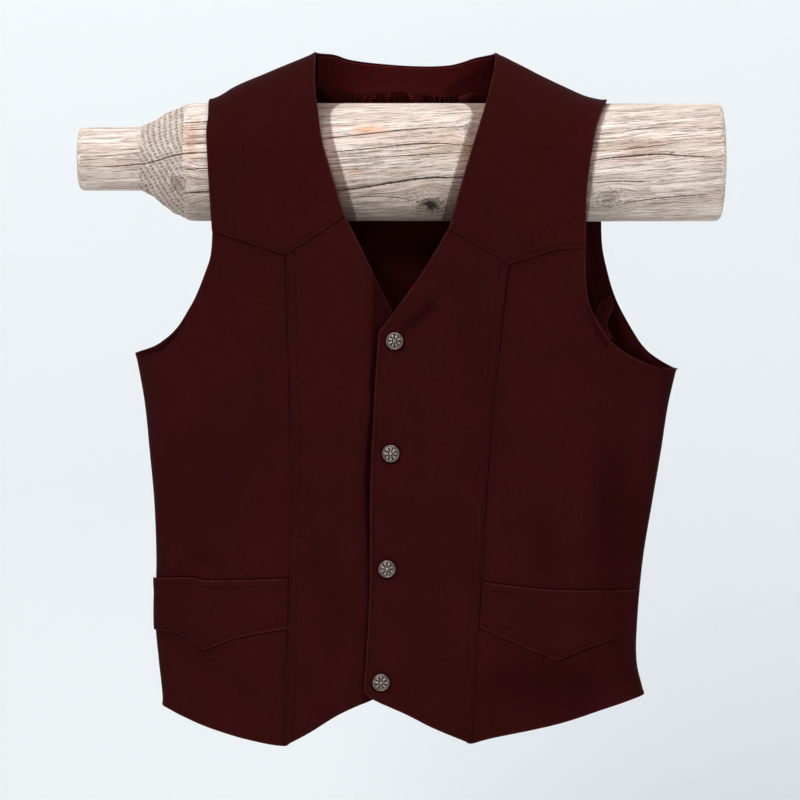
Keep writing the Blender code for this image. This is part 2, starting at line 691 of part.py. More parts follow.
def build_bands(collection):
    """Pocket bands with pointed lower edges, laid on the side fronts."""
    half = 8
    rows = 3
    lift = LAID_GAP + BAND_LEATHER
    left_places = panel_places(
        top=joined(-1, (smooth_line(BAND_LEFT_TOP), 2 * half + 2)),
        bottom=joined(
            -1,
            (smooth_line(BAND_LEFT_LOWER_OUTER), half),
            (smooth_line(BAND_LEFT_LOWER_INNER), half + 2),
        ),
        left=joined(-1, (side_line(-1, BAND_LEFT_TOP[0][1], BAND_LEFT_LOWER_OUTER[0][1]), rows)),
        right=joined(-1, (smooth_line([BAND_LEFT_TOP[-1], BAND_LEFT_LOWER_INNER[-1]]), rows)),
    )
    right_places = panel_places(
        top=joined(-1, (smooth_line(BAND_RIGHT_TOP), 2 * half + 2)),
        bottom=joined(
            -1,
            (smooth_line(BAND_RIGHT_LOWER_INNER), half + 1),
            (smooth_line(BAND_RIGHT_LOWER_OUTER), half + 1),
        ),
        left=joined(-1, (smooth_line([BAND_RIGHT_TOP[0], BAND_RIGHT_LOWER_INNER[0]]), rows)),
        right=joined(-1, (side_line(1, BAND_RIGHT_TOP[-1][1], BAND_RIGHT_LOWER_OUTER[-1][1]), rows)),
    )
    for name, places in (("pocket_band_left", left_places), ("pocket_band_right", right_places)):
        cloth_object(collection, name, LEATHER_FINISH, -1, places, BAND_LEATHER, outer_lift=lift)


def build_armhole_facing(collection):
    """Leather strip that crosses the inside of the right armhole, twisted a little."""
    centres = [Vector(row[:3]) for row in ARMHOLE_FACING]
    halves = [Vector(row[3:]) for row in ARMHOLE_FACING]
    outer, inner = [], []
    for index, (centre, half) in enumerate(zip(centres, halves)):
        ahead = centres[min(index + 1, len(centres) - 1)] - centres[max(index - 1, 0)]
        through = ahead.cross(half).normalized() * STRIP_LEATHER / 2
        edge_points = [centre - half, centre, centre + half]
        outer.append([point + through for point in edge_points])
        inner.append([point - through for point in edge_points])
    wall_object(collection, "armhole_facing_right", LEATHER_FINISH, outer, inner)


def build_snaps(collection):
    """Turned, domed snap caps standing on the upper front."""
    for number, (across, up) in enumerate(SNAPS, start=1):
        around, over = form_place(across, up)
        seat = cloth_point(-1, around, over, SNAP_GAP)
        normal = form_normal(-1, around, over)
        profile = bmesh.new()
        points = [profile.verts.new((radius * MM, 0.0, height * MM)) for radius, height in SNAP_PROFILE]
        for first, second in zip(points, points[1:]):
            profile.edges.new((first, second))
        cap = mesh_object(collection, f"snap_{number}", METAL_FINISH, profile)
        turn = cap.modifiers.new("turned", "SCREW")
        turn.axis = "Z"
        turn.steps = SNAP_STEPS
        turn.render_steps = SNAP_STEPS
        turn.use_merge_vertices = True
        turn.merge_threshold = 0.00001
        cap.matrix_world = Matrix.Translation(seat * MM) @ normal.to_track_quat("Z", "Y").to_matrix().to_4x4()


def build_log(collection):
    """The round log: a ring at each section, bridged, with a cone and a tenon at its left end."""
    mesh_data = bmesh.new()
    upright = Matrix.Rotation(math.radians(90), 4, "Y")
    rings = []
    for across, radius, rise in LOG_SECTIONS:
        at_end = across in (LOG_SECTIONS[0][0], LOG_SECTIONS[-1][0])
        place = Matrix.Translation(Vector((across, 0.0, rise)) * MM) @ upright
        ring = bmesh.ops.create_circle(
            mesh_data, cap_ends=at_end, segments=LOG_SIDES, radius=radius * MM, matrix=place
        )
        rings.append(ring["verts"])
    for first, second in zip(rings, rings[1:]):
        members = set(first), set(second)
        loops = [
            edge for edge in mesh_data.edges
            if any(all(vert in ring for vert in edge.verts) for ring in members)
        ]
        bmesh.ops.bridge_loops(mesh_data, edges=loops)
    bmesh.ops.recalc_face_normals(mesh_data, faces=mesh_data.faces[:])
    mesh_object(collection, "log", WOOD_FINISH, mesh_data)


def build_object():
    collection = start_scene()
    build_log(collection)
    build_yokes(collection)
    build_side_fronts(collection)
    build_centre_fronts(collection)
    build_back(collection)
    build_lining(collection)
    build_bands(collection)
    build_armhole_facing(collection)
    build_snaps(collection)


build_object()
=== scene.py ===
import math

import bmesh
import bpy
import numpy as np
from mathutils import Matrix, Vector


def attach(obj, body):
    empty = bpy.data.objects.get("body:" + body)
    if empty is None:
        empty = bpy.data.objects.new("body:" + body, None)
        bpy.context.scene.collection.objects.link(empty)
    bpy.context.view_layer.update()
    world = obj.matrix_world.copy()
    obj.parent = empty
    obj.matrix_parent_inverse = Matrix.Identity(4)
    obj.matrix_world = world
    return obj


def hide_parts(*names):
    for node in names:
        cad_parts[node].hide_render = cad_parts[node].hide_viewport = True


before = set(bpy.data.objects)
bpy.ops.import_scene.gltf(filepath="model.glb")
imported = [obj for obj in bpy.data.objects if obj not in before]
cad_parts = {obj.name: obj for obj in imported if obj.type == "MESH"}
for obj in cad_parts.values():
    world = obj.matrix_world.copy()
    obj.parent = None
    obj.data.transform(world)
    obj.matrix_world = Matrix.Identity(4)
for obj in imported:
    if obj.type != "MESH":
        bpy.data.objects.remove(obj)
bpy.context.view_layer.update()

MM = 0.001

# Camera. It stands level, 2.66 m in front of the log's axis and 231 mm below it, and its
# frame of 800 pixels takes in 777.6 mm at the log.
CAMERA_PLACE = (-0.0049, -2.66, -0.231)
FRAME_AT_LOG = 0.7776
SENSOR = 36.0

camera_data = bpy.data.cameras.new("camera")
camera_data.sensor_width = SENSOR
camera_data.lens = SENSOR * -CAMERA_PLACE[1] / FRAME_AT_LOG
camera = bpy.data.objects.new("camera", camera_data)
camera.location = CAMERA_PLACE
camera.rotation_euler = (math.radians(90), 0, 0)
bpy.context.scene.collection.objects.link(camera)
bpy.context.scene.camera = camera


# Studio. A pale sheet of paper runs down a wall and forward over the floor in one sweep.
# Four large soft lamps light it: high in front on the left, low in front, right, and above.
# The paper is clear when seen through from its back, so a camera behind it sees the object.
FLOOR_UP = -0.95
WALL_BACK = 1.1
SWEEP_RADIUS = 0.6
SWEEP_HALF_WIDTH = 4.0
PAPER_COLOUR = (0.86, 0.885, 0.90, 1)
LAMPS = [
    # name, place, aim, size, power, colour
    ("key", (-1.2, -2.2, 1.7), (0, 0, -0.2), 1.5, 50, (1, 0.985, 0.96)),
    ("fill", (1.9, -2.2, 0.1), (0, 0, -0.3), 1.8, 11, (0.97, 0.98, 1)),
    ("low", (-0.2, -2.7, -0.75), (0, 0, 0), 1.4, 9, (1, 0.98, 0.96)),
    ("top", (0.1, -0.3, 2.0), (0, 0, 0), 1.4, 19, (1, 1, 1)),
]

paper = bmesh.new()
profile = [(-4.0, FLOOR_UP), (WALL_BACK - SWEEP_RADIUS, FLOOR_UP)]
for turn in np.linspace(0, math.pi / 2, 13)[1:]:
    profile.append((
        WALL_BACK - SWEEP_RADIUS + SWEEP_RADIUS * math.sin(turn),
        FLOOR_UP + SWEEP_RADIUS - SWEEP_RADIUS * math.cos(turn),
    ))
profile.append((WALL_BACK, 3.0))
line = [paper.verts.new((-SWEEP_HALF_WIDTH, back, up)) for back, up in profile]
edges = [paper.edges.new(pair) for pair in zip(line, line[1:])]
swept = bmesh.ops.extrude_edge_only(paper, edges=edges)["geom"]
moved = [part for part in swept if isinstance(part, bmesh.types.BMVert)]
bmesh.ops.translate(paper, verts=moved, vec=(2 * SWEEP_HALF_WIDTH, 0, 0))
paper_mesh = bpy.data.meshes.new("paper_sweep")
paper.to_mesh(paper_mesh)
paper.free()
paper_mesh.shade_smooth()
paper_finish = bpy.data.materials.new("paper")
paper_finish.use_nodes = True
paper_shader = paper_finish.node_tree.nodes["Principled BSDF"]
paper_shader.inputs["Base Color"].default_value = PAPER_COLOUR
paper_shader.inputs["Roughness"].default_value = 0.9
paper_nodes, paper_links = paper_finish.node_tree.nodes, paper_finish.node_tree.links
paper_sides = paper_nodes.new("ShaderNodeMixShader")
paper_links.new(paper_nodes.new("ShaderNodeNewGeometry").outputs["Backfacing"], paper_sides.inputs[0])
paper_links.new(paper_shader.outputs["BSDF"], paper_sides.inputs[1])
paper_links.new(paper_nodes.new("ShaderNodeBsdfTransparent").outputs["BSDF"], paper_sides.inputs[2])
paper_links.new(paper_sides.outputs["Shader"], paper_nodes["Material Output"].inputs["Surface"])
paper_mesh.materials.append(paper_finish)
paper_sweep = bpy.data.objects.new("paper_sweep", paper_mesh)
bpy.context.scene.collection.objects.link(paper_sweep)

for lamp_name, place, aim, size, power, colour in LAMPS:
    lamp = bpy.data.lights.new(lamp_name, "AREA")
    lamp.size = size
    lamp.energy = power
    lamp.color = colour
    stand = bpy.data.objects.new(lamp_name, lamp)
    stand.location = place
    stand.rotation_euler = (Vector(aim) - Vector(place)).to_track_quat("-Z", "Y").to_euler()
    bpy.context.scene.collection.objects.link(stand)

room = bpy.data.worlds.new("room")
room.use_nodes = True
room.node_tree.nodes["Background"].inputs["Color"].default_value = (0.90, 0.95, 1, 1)
room.node_tree.nodes["Background"].inputs["Strength"].default_value = 0.42
bpy.context.scene.world = room
bpy.context.scene.view_settings.view_transform = "Standard"


# Log. A peeled, weathered softwood pole, hewn down to a tenon at its left end with an adze.
# It is turned as a rough profile, then dented, split and knotted where the real wood is.
LOG_PROFILE = [
    # across, radius
    (-316.0, 27.0), (-314.6, 29.6), (-312.0, 30.9), (-290.0, 31.0), (-262.0, 31.0), (-256.0, 31.6),
    (-247.0, 36.5), (-229.0, 48.5), (-216.0, 54.4), (-210.0, 56.4), (-203.0, 57.0),
    (-100.0, 57.0), (0.0, 57.0), (120.0, 57.0), (300.0, 57.0), (304.0, 56.2), (306.0, 54.2),
]
LOG_RADIUS = 57.0
LOG_STEP = 1.7
LOG_TURNS = 216
TENON_RISE = 3.0
HEWN_FROM, HEWN_TO = -262.0, -212.0
CUT_SPACING, CUT_SLANT, CUT_BEND, FIBRE_SPACING = 5.8, 0.50, 0.0042, 3.3
GRAIN_TWIST = 0.0016
KNOTS = [
    # side, across, up, radius, stretch along the log, darkness of the heart, height of the rim
    (-1, -218.0, -27.5, 10.5, 0.9, 0.25, 0.9),
    (-1, 24.6, -44.6, 10.5, 1.35, 1.0, 0.9),
    (-1, 62.6, 26.7, 8.6, 0.72, 0.1, 0.4),
    (-1, 194.8, -39.2, 9.5, 1.2, 0.25, 0.6),
    (1, 110.0, 33.0, 10.0, 1.2, 0.8, 0.5),
    (1, -120.0, -8.0, 9.0, 1.1, 0.6, 0.4),
    (1, 240.0, 40.0, 7.0, 1.3, 0.7, 0.4),
]
CRACKS = [
    # side, half width, depth, turning points across and up
    (-1, 0.95, 2.2, [
        (-90, -32), (-63, -30.6), (-43, -28.4), (-5, -22.7), (24, -19.2), (54, -18.6), (80, -17)]),
    (-1, 0.42, 0.7, [(-88, 16), (-79, 17.2), (-30, 23.4), (24, 28.6), (66, 30)]),
    (-1, 0.50, 0.8, [(-72, 4.4), (-20, 9.6), (24, 13.4), (50, 12), (76, 7.5)]),
    (-1, 0.40, 0.6, [(-66, -3.4), (0, 1.5), (70, 5.2)]),
    (-1, 0.34, 0.4, [(-76, -13), (-52, -11.4), (-30, -11)]),
    (-1, 0.38, 0.5, [(-56, -38), (-20, -36.5), (6, -40)]),
    (-1, 0.70, 1.2, [(172, -4.5), (195, -0.9), (219, 1.2), (243, 2.9), (262, 1.6), (292, 0.2)]),
    (-1, 0.40, 0.6, [(200, 6.5), (230, 10), (262, 14.4)]),
    (-1, 0.34, 0.5, [(204, 24), (225, 27.4), (250, 30.4)]),
    (-1, 0.50, 0.8, [(204, -43), (226, -39.8), (245, -37.6), (290, -34.4)]),
    (-1, 0.36, 0.5, [(178, -24), (205, -22.6), (236, -23)]),
    (-1, 0.45, 0.8, [(-213, 33.7), (-196, 34.6), (-140, 37)]),
    (-1, 0.45, 0.8, [(-213, 26.4), (-196, 27.2), (-140, 29)]),
    (-1, 0.42, 0.7, [(-213, 12.2), (-196, 13.2), (-150, 15)]),
    (-1, 0.42, 0.7, [(-213, -11.8), (-196, -10.8), (-150, -9)]),
    (-1, 0.80, 1.4, [(-214, -34.2), (-200, -32.6), (-150, -31)]),
    (-1, 0.60, 1.1, [(-300, -7), (-252, -4.2), (-224, 1.2), (-209, 3.6), (-160, 5.5)]),
    (1, 0.90, 1.8, [(-170, 14), (-60, 9), (90, 3)]),
    (1, 0.60, 1.2, [(-40, -30), (90, -25), (230, -22)]),
    (1, 0.50, 0.8, [(60, 36), (160, 38), (250, 41)]),
    (1, 0.50, 0.8, [(-220, -24), (-150, -31), (-80, -35)]),
]
STAINS = [
    # across, up, length, height, strength: warm patches of old resin
    (-34.0, 26.5, 26.0, 6.0, 0.75), (-48.0, -13.0, 12.0, 3.5, 0.7), (-78.0, -2.0, 10.0, 22.0, 0.45),
    (-203.0, 14.0, 9.0, 30.0, 0.6), (222.0, 8.0, 34.0, 16.0, 0.25), (60.0, 6.0, 20.0, 9.0, 0.3),
]


def smooth_step(share):
    share = np.clip(share, 0, 1)
    return share * share * (3 - 2 * share)


def waves(points, length, height, seed, count=9):
    """Soft unevenness about this long and high: sine waves in seeded directions."""
    dice = np.random.default_rng(seed)
    total = np.zeros(points.shape[:-1])
    for _ in range(count):
        direction = dice.normal(size=3)
        rate = math.tau / (length * dice.uniform(0.7, 1.5) * np.linalg.norm(direction))
        total += np.sin(points @ direction * rate + dice.uniform(0, math.tau))
    return height * total / math.sqrt(count)


def table_curve(rows, at, column):
    """Smooth values of one column of a table, at many places along its first column."""
    ordered = np.array(sorted(rows), float)
    keys, values = ordered[:, 0], ordered[:, column]
    at = np.clip(at, keys[0], keys[-1])
    low = np.clip(np.searchsorted(keys, at, side="right") - 1, 0, len(keys) - 2)
    high = low + 1
    before, after = np.maximum(low - 1, 0), np.minimum(high + 1, len(keys) - 1)
    span = keys[high] - keys[low]
    share = (at - keys[low]) / span
    slope_low = (values[high] - values[before]) / (keys[high] - keys[before]) * span
    slope_high = (values[after] - values[low]) / (keys[after] - keys[low]) * span
    cube, square = share ** 3, share ** 2
    start = (2 * cube - 3 * square + 1) * values[low] + (cube - 2 * square + share) * slope_low
    return start + (3 * square - 2 * cube) * values[high] + (cube - square) * slope_high


def read_points(mesh):
    """A mesh's points in millimetres."""
    flat = np.empty(len(mesh.vertices) * 3)
    mesh.vertices.foreach_get("co", flat)
    return flat.reshape(-1, 3) / MM


def write_points(mesh, points):
    mesh.vertices.foreach_set("co", (points * MM).ravel())
    mesh.update()


def write_values(mesh, label, values):
    """Stores one number at each point of a mesh, for its material to read."""
    mesh.attributes.new(label, "FLOAT", "POINT").data.foreach_set("value", values)


def show(name, mesh, slot, *materials):
    """A piece of the object from its mesh, riding on the one body there is."""
    mesh.name = name
    mesh.shade_smooth()
    for material in materials:
        mesh.materials.append(material)
    piece = bpy.data.objects.new(name, mesh)
    bpy.context.scene.collection.objects.link(piece)
    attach(piece, "root")
    return piece


turned = bmesh.new()
rows = np.array(LOG_PROFILE)
places = list(rows[:7, 0]) + list(np.arange(-254.0, 300.0, LOG_STEP)) + list(rows[-3:, 0])
axis_points = [(places[0], 0.0)] + [(x, np.interp(x, rows[:, 0], rows[:, 1])) for x in places]
axis_points.append((places[-1], 0.0))
outline = [turned.verts.new((x * MM, 0, r * MM)) for x, r in axis_points]
spine = [turned.edges.new(pair) for pair in zip(outline, outline[1:])]
bmesh.ops.spin(
    turned, geom=outline + spine, cent=(0, 0, 0), axis=(1, 0, 0), angle=math.tau,
    steps=LOG_TURNS, use_merge=True, use_duplicate=False,
)
bmesh.ops.remove_doubles(turned, verts=turned.verts, dist=1e-6)
bmesh.ops.recalc_face_normals(turned, faces=turned.faces)
log_mesh = bpy.data.meshes.new("hewn_log")
turned.to_mesh(log_mesh)
turned.free()

points = read_points(log_mesh)
across, up = points[:, 0], points[:, 2]
radius = np.hypot(points[:, 1], up)
outward = points * (0, 1, 1) / np.maximum(radius, 1e-6)[:, None]
change = waves(points * (0.12, 1, 1), 46, 0.30, 3) + waves(points * (0.05, 1, 1), 9, 0.10, 4) - 0.25
hewn = smooth_step((across - HEWN_FROM) / 10) * (across < HEWN_TO)
cuts = ((across + CUT_SLANT * up - CUT_BEND * up ** 2) / CUT_SPACING + 0.25 * np.sin(up / 9.0)) % 1
change -= hewn * (1.1 * cuts ** 1.5 + 0.5 * np.abs(np.sin(up / 6.5 - across / 22.0)) + 0.3)
change += hewn * waves(points, 16, 0.4, 8)
for side, knot_across, knot_up, size, stretch, dark, rim in KNOTS:
    centre = (knot_across, side * math.sqrt(LOG_RADIUS ** 2 - knot_up ** 2), knot_up)
    away = np.linalg.norm((points - centre) * (1 / stretch, 1, 1), axis=1) / size
    change += rim * np.exp(-(((away - 1.0) / 0.3) ** 2)) - 1.1 * dark * np.exp(-((away / 0.6) ** 2))
    change += 0.4 * rim * np.exp(-((away / 2.2) ** 2))
for side, breadth, depth, turns in CRACKS:
    share = np.clip((across - turns[0][0]) / (turns[-1][0] - turns[0][0]), 0, 1)
    away = (up - table_curve(turns, across, 1)) / (breadth + 0.8)
    opened = np.sqrt(np.sin(share * math.pi)) * (points[:, 1] * side > 0)
    change -= depth * opened * np.exp(-(away ** 2))
points += outward * (np.minimum(change, 0.9) * smooth_step((radius - 20) / 10))[:, None]
points[:, 2] += TENON_RISE * smooth_step((-206 - across) / 50)
write_points(log_mesh, points)


class Flow:
    """A node's output. Arithmetic on it adds a maths node and gives that node's output."""

    def __init__(self, socket):
        self.socket = socket
        self.tree = socket.id_data

    def __add__(self, other):
        return calculate("ADD", self, other)

    def __sub__(self, other):
        return calculate("SUBTRACT", self, other)

    def __mul__(self, other):
        return calculate("MULTIPLY", self, other)

    def __truediv__(self, other):
        return calculate("DIVIDE", self, other)

    def __abs__(self):
        return calculate("ABSOLUTE", self)


def feed(inputs, values):
    """Gives each named input its value, or a link from another node's output."""
    for name, value in values.items():
        if isinstance(value, Flow):
            value.tree.links.new(value.socket, inputs[name])
        else:
            inputs[name].default_value = value


def add_node(tree, kind, values, **settings):
    made = tree.nodes.new(kind)
    for name, value in settings.items():
        setattr(made, name, value)
    feed(made.inputs, values)
    return made


def node_after(kind, values, output=0, **settings):
    """The output of a new node, in the tree of the first output that it is fed from."""
    tree = next(value.tree for value in values.values() if isinstance(value, Flow))
    return Flow(add_node(tree, kind, values, **settings).outputs[output])


def calculate(operation, *values):
    return node_after("ShaderNodeMath", dict(enumerate(values)), operation=operation)


def highest(*values):
    return calculate("MAXIMUM", *values)


def vector_math(operation, *values):
    output = "Value" if operation == "LENGTH" else "Vector"
    return node_after("ShaderNodeVectorMath", dict(enumerate(values)), output, operation=operation)


def combine(*values):
    return node_after("ShaderNodeCombineXYZ", dict(enumerate(values)))


def split(vector):
    return [Flow(part) for part in add_node(vector.tree, "ShaderNodeSeparateXYZ", {0: vector}).outputs]


def noise(place, stretch, detail=3.0, roughness=0.55, distortion=0.0):
    """Noise with this many cells to the millimetre along each axis."""
    values = {"Vector": vector_math("MULTIPLY", place, stretch), "Scale": 1.0, "Detail": detail}
    return node_after("ShaderNodeTexNoise", {**values, "Roughness": roughness, "Distortion": distortion})


def ramp(value, low, high, to_low=0.0, to_high=1.0):
    """Value eased from one range to another."""
    values = dict(enumerate((value, low, high, to_low, to_high)))
    return node_after("ShaderNodeMapRange", values, interpolation_type="SMOOTHSTEP")


def mix_colours(share, first, second, blend="MIX"):
    return node_after("ShaderNodeMix", {0: share, 6: first, 7: second}, 2, data_type="RGBA", blend_type=blend)


def bump(height_mm, strength):
    return node_after("ShaderNodeBump", {"Height": height_mm, "Distance": MM, "Strength": strength})


def flows(sockets):
    return {socket.name: Flow(socket) for socket in sockets}


def node_group(name, inputs, outputs):
    """An empty shader group with these sockets; returns it with what it takes and gives."""
    group = bpy.data.node_groups.new(name, "ShaderNodeTree")
    kinds = {"colour": "NodeSocketColor", "value": "NodeSocketFloat", "vector": "NodeSocketVector"}
    for way, sockets in (("INPUT", inputs), ("OUTPUT", outputs)):
        for socket, kind in sockets.items():
            group.interface.new_socket(socket, in_out=way, socket_type=kinds[kind])
    taken = flows(group.nodes.new("NodeGroupInput").outputs)
    return group, taken, group.nodes.new("NodeGroupOutput").inputs


def use_group(group, values):
    tree = next(value.tree for value in values.values() if isinstance(value, Flow))
    return flows(add_node(tree, "ShaderNodeGroup", values, node_tree=group).outputs)


def new_material(name, **constants):
    """A material with its constant shader values set; returns it with its shader."""
    material = bpy.data.materials.new(name)
    material.use_nodes = True
    shader = material.node_tree.nodes["Principled BSDF"]
    feed(shader.inputs, {socket.replace("_", " "): value for socket, value in constants.items()})
    return material, shader


def place_in_mm(shader):
    place = Flow(add_node(shader.id_data, "ShaderNodeTexCoord", {}).outputs["Object"])
    return vector_math("MULTIPLY", place, (1000.0, 1000.0, 1000.0))


def stored(shader, label):
    """The number that write_values stored at the surface."""
    return Flow(add_node(shader.id_data, "ShaderNodeAttribute", {}, attribute_name=label).outputs["Fac"])


knot_group, taken, given = node_group(
    "knot",
    {"Place": "vector", "Centre": "vector", "Squeeze": "vector", "Radius": "value"},
    {"Place": "vector", "Reach": "value"},
)
offset = vector_math("SUBTRACT", taken["Place"], taken["Centre"])
away = vector_math("LENGTH", vector_math("MULTIPLY", offset, taken["Squeeze"])) / taken["Radius"]
uneven = (noise(offset, (0.16, 0.22, 0.22)) - 0.5) * 1.5
push = ramp(away, 0.6, 3.2, -0.62, 0.0)
bent = vector_math("MULTIPLY", offset, combine(0.0, push, push))
feed(given, {"Reach": away + uneven, "Place": vector_math("ADD", taken["Place"], bent)})

crack_group, taken, given = node_group(
    "drying_crack",
    {"Off": "value", "Share": "value", "Half Width": "value", "Side": "value", "Place": "vector"},
    {"Crack": "value"},
)
wander = (noise(taken["Place"], (0.11, 0.02, 0.02)) - 0.5) * 1.3
taper = calculate("POWER", calculate("SINE", taken["Share"] * math.pi), 0.5)
ragged = ramp(noise(taken["Place"], (0.35, 0.05, 0.05)), 0.3, 0.7, 0.65, 1.3)
breadth = taper * ragged * taken["Half Width"] + 0.01
line = ramp(abs(taken["Off"] + wander) / breadth, 0.45, 1.35, 1.0, 0.0)
seen = calculate("GREATER_THAN", split(taken["Place"])[1] * taken["Side"], 0.0)
feed(given, {"Crack": line * seen})


def crack_mask(place, side, breadth, turns):
    """Where one crack runs: a curve through its turning points gives its height across."""
    across, up = split(place)[0], split(place)[2]
    first, last = turns[0][0], turns[-1][0]
    heights = [height for x, height in turns]
    low, span = min(heights) - 2.0, max(heights) - min(heights) + 4.0
    share = node_after("ShaderNodeMapRange", {"Value": across, "From Min": first, "From Max": last})
    line = add_node(share.tree, "ShaderNodeFloatCurve", {"Value": share})
    curve = line.mapping.curves[0].points
    curve[0].location = (0.0, (heights[0] - low) / span)
    curve[1].location = (1.0, (heights[-1] - low) / span)
    for x, height in turns[1:-1]:
        curve.new((x - first) / (last - first), (height - low) / span)
    line.mapping.update()
    off = up - (Flow(line.outputs[0]) * span + low)
    values = {"Off": off, "Share": share, "Half Width": breadth, "Side": side, "Place": place}
    return use_group(crack_group, values)["Crack"]


wood, shader = new_material("weathered_wood", Roughness=0.86, Specular_IOR_Level=0.2)
whole = place_in_mm(shader)
along, high = split(whole)[0], split(whole)[2]
place = whole
hearts, ring_lines, pale_rings, knot_wood, splits, stains = [0.0] * 6
for side, knot_across, knot_up, size, stretch, dark, rim in KNOTS:
    centre = (knot_across, side * math.sqrt(LOG_RADIUS ** 2 - knot_up ** 2), knot_up)
    values = {"Place": place, "Centre": centre, "Squeeze": (1 / stretch, 1, 1), "Radius": size}
    out = use_group(knot_group, values)
    place, reach = out["Place"], out["Reach"]
    hearts = highest(ramp(reach, 0.15, 0.75, dark, 0.0), hearts)
    knot_wood = highest(ramp(reach, 0.7, 1.15, 0.12 + 0.55 * dark, 0.0), knot_wood)
    ringed = ramp(calculate("SINE", reach * 21.0), 0.2, 1.0) * ramp(reach, 0.8, 2.3, 0.75, 0.0)
    rim_line = ramp(abs(reach - 1.0), 0.02, 0.12, 0.7, 0.0)
    ring_lines = highest(highest(rim_line, ringed), ring_lines)
    pale_rings = highest(ramp(abs(reach - 1.25), 0.05, 0.25, 0.45, 0.0), pale_rings)
for side, breadth, depth, turns in CRACKS:
    splits = highest(crack_mask(whole, side, breadth, turns), splits)
for x, z, length, height, strength in STAINS:
    gone = vector_math("SUBTRACT", whole, (x, -50.0, z))
    gone = vector_math("LENGTH", vector_math("MULTIPLY", gone, (1 / length, 0.02, 1 / height)))
    stains = highest(ramp(gone, 0.2, 1.0, strength, 0.0), stains)

twist = {"Vector": place, "Angle": along * GRAIN_TWIST}
grain = node_after("ShaderNodeVectorRotate", twist, rotation_type="X_AXIS")
bands = noise(grain, (0.006, 0.13, 0.13), 4.0, 0.6, 0.4)
streaks = noise(grain, (0.018, 0.62, 0.62), 5.0, 0.68, 0.25)
hairs = noise(grain, (0.035, 1.15, 1.15), 4.0, 0.7)
flecks = noise(grain, (0.28, 1.9, 1.9), 3.0, 0.7)
patches = noise(grain, (0.014, 0.05, 0.05))
contours = calculate("FRACT", noise(grain, (0.010, 0.30, 0.30), 3.0, 0.55, 0.3) * 5.0)
year_lines = ramp(abs(contours - 0.5), 0.03, 0.15, 1.0, 0.0) * ramp(flecks, 0.35, 0.6, 0.4, 1.0)
warm = highest(stains * ramp(streaks, 0.30, 0.62, 0.3, 1.0), ramp(patches, 0.60, 0.80, 0.0, 0.30))
slanted = along + high * CUT_SLANT - high * high * CUT_BEND
blows = noise(whole, (0.20, 0.20, 0.20), 3.0, 0.7)
cuts = slanted / CUT_SPACING + calculate("SINE", high / 9.0) * 0.25 + blows * 1.1
cuts = calculate("FRACT", cuts)
fibre_wave = high / FIBRE_SPACING - along / 14.0 + blows * 1.8
fibres = calculate("SINE", fibre_wave * math.tau)
on_cone = ramp(along, HEWN_FROM, HEWN_FROM + 12.0) * calculate("LESS_THAN", along, HEWN_TO)
# Dark dashes on the hewn cone, laid in one part of each adze cut: partly the wood's fibres, partly painted
# shade in the cuts.
fibre_dashes_and_cut_shade = ramp(fibres, -0.4, 0.7, 0.2, 1.0) * ramp(cuts, 0.30, 0.70) * ramp(cuts, 0.99, 0.84)
fibre_dashes_and_cut_shade = fibre_dashes_and_cut_shade * ramp(flecks, 0.30, 0.62, 0.35, 1.0) * on_cone
knot_colour = mix_colours(ramp(flecks, 0.35, 0.65), (0.20, 0.135, 0.10, 1), (0.52, 0.42, 0.36, 1))
# Painted shade: the log is darker towards the bottom, less at the left end and not at the right end.
below = ramp(high, 22.0, -60.0, 0.0, 0.42) * ramp(along, 100.0, 190.0, 1.0, 0.0)
below = below * ramp(along, -100.0, -180.0, 1.0, 0.5)
colour = mix_colours(ramp(bands, 0.32, 0.66), (0.70, 0.54, 0.45, 1), (1.0, 0.87, 0.78, 1))
for share, paint, blend in (
    (ramp(streaks, 0.48, 0.36, 0.0, 0.55), (0.36, 0.25, 0.20, 1), "MIX"),
    (ramp(hairs, 0.46, 0.39, 0.0, 0.80), (0.24, 0.155, 0.115, 1), "MIX"),
    (year_lines * 0.85, (0.17, 0.105, 0.08, 1), "MIX"),
    (ramp(flecks, 0.56, 0.70, 0.0, 0.75), (0.97, 0.88, 0.82, 1), "MIX"),
    (warm, (0.90, 0.50, 0.28, 1), "MULTIPLY"),
    (on_cone * 0.50, (0.58, 0.49, 0.43, 1), "MIX"),
    (fibre_dashes_and_cut_shade * 0.92, (0.12, 0.08, 0.06, 1), "MIX"),
    (knot_wood, knot_colour, "MIX"),
    (pale_rings, (0.92, 0.84, 0.78, 1), "MIX"),
    (ring_lines, (0.20, 0.13, 0.10, 1), "MIX"),
    (hearts, (0.06, 0.04, 0.03, 1), "MIX"),
    # painted shade towards the bottom of the log
    (below, (0.36, 0.28, 0.24, 1), "MULTIPLY"),
    # painted shadow on the log beside the cloth
    (stored(shader, "painted_shadow_beside_cloth") * 0.80, (0.25, 0.17, 0.14, 1), "MULTIPLY"),
    (splits * 0.95, (0.035, 0.022, 0.017, 1), "MIX"),
):
    colour = mix_colours(share, colour, paint, blend)
height = hairs * 0.6 + streaks * 0.8 + flecks * 0.2 + year_lines * -0.25
height = height + fibre_dashes_and_cut_shade * -0.5 + ring_lines * -0.3 + splits * -1.4
feed(shader.inputs, {"Base Color": colour, "Normal": bump(height, 0.8)})

log = show("hewn_log", log_mesh, "wood", wood)
log_mesh.set_sharp_from_angle(angle=math.radians(50))
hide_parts("log")


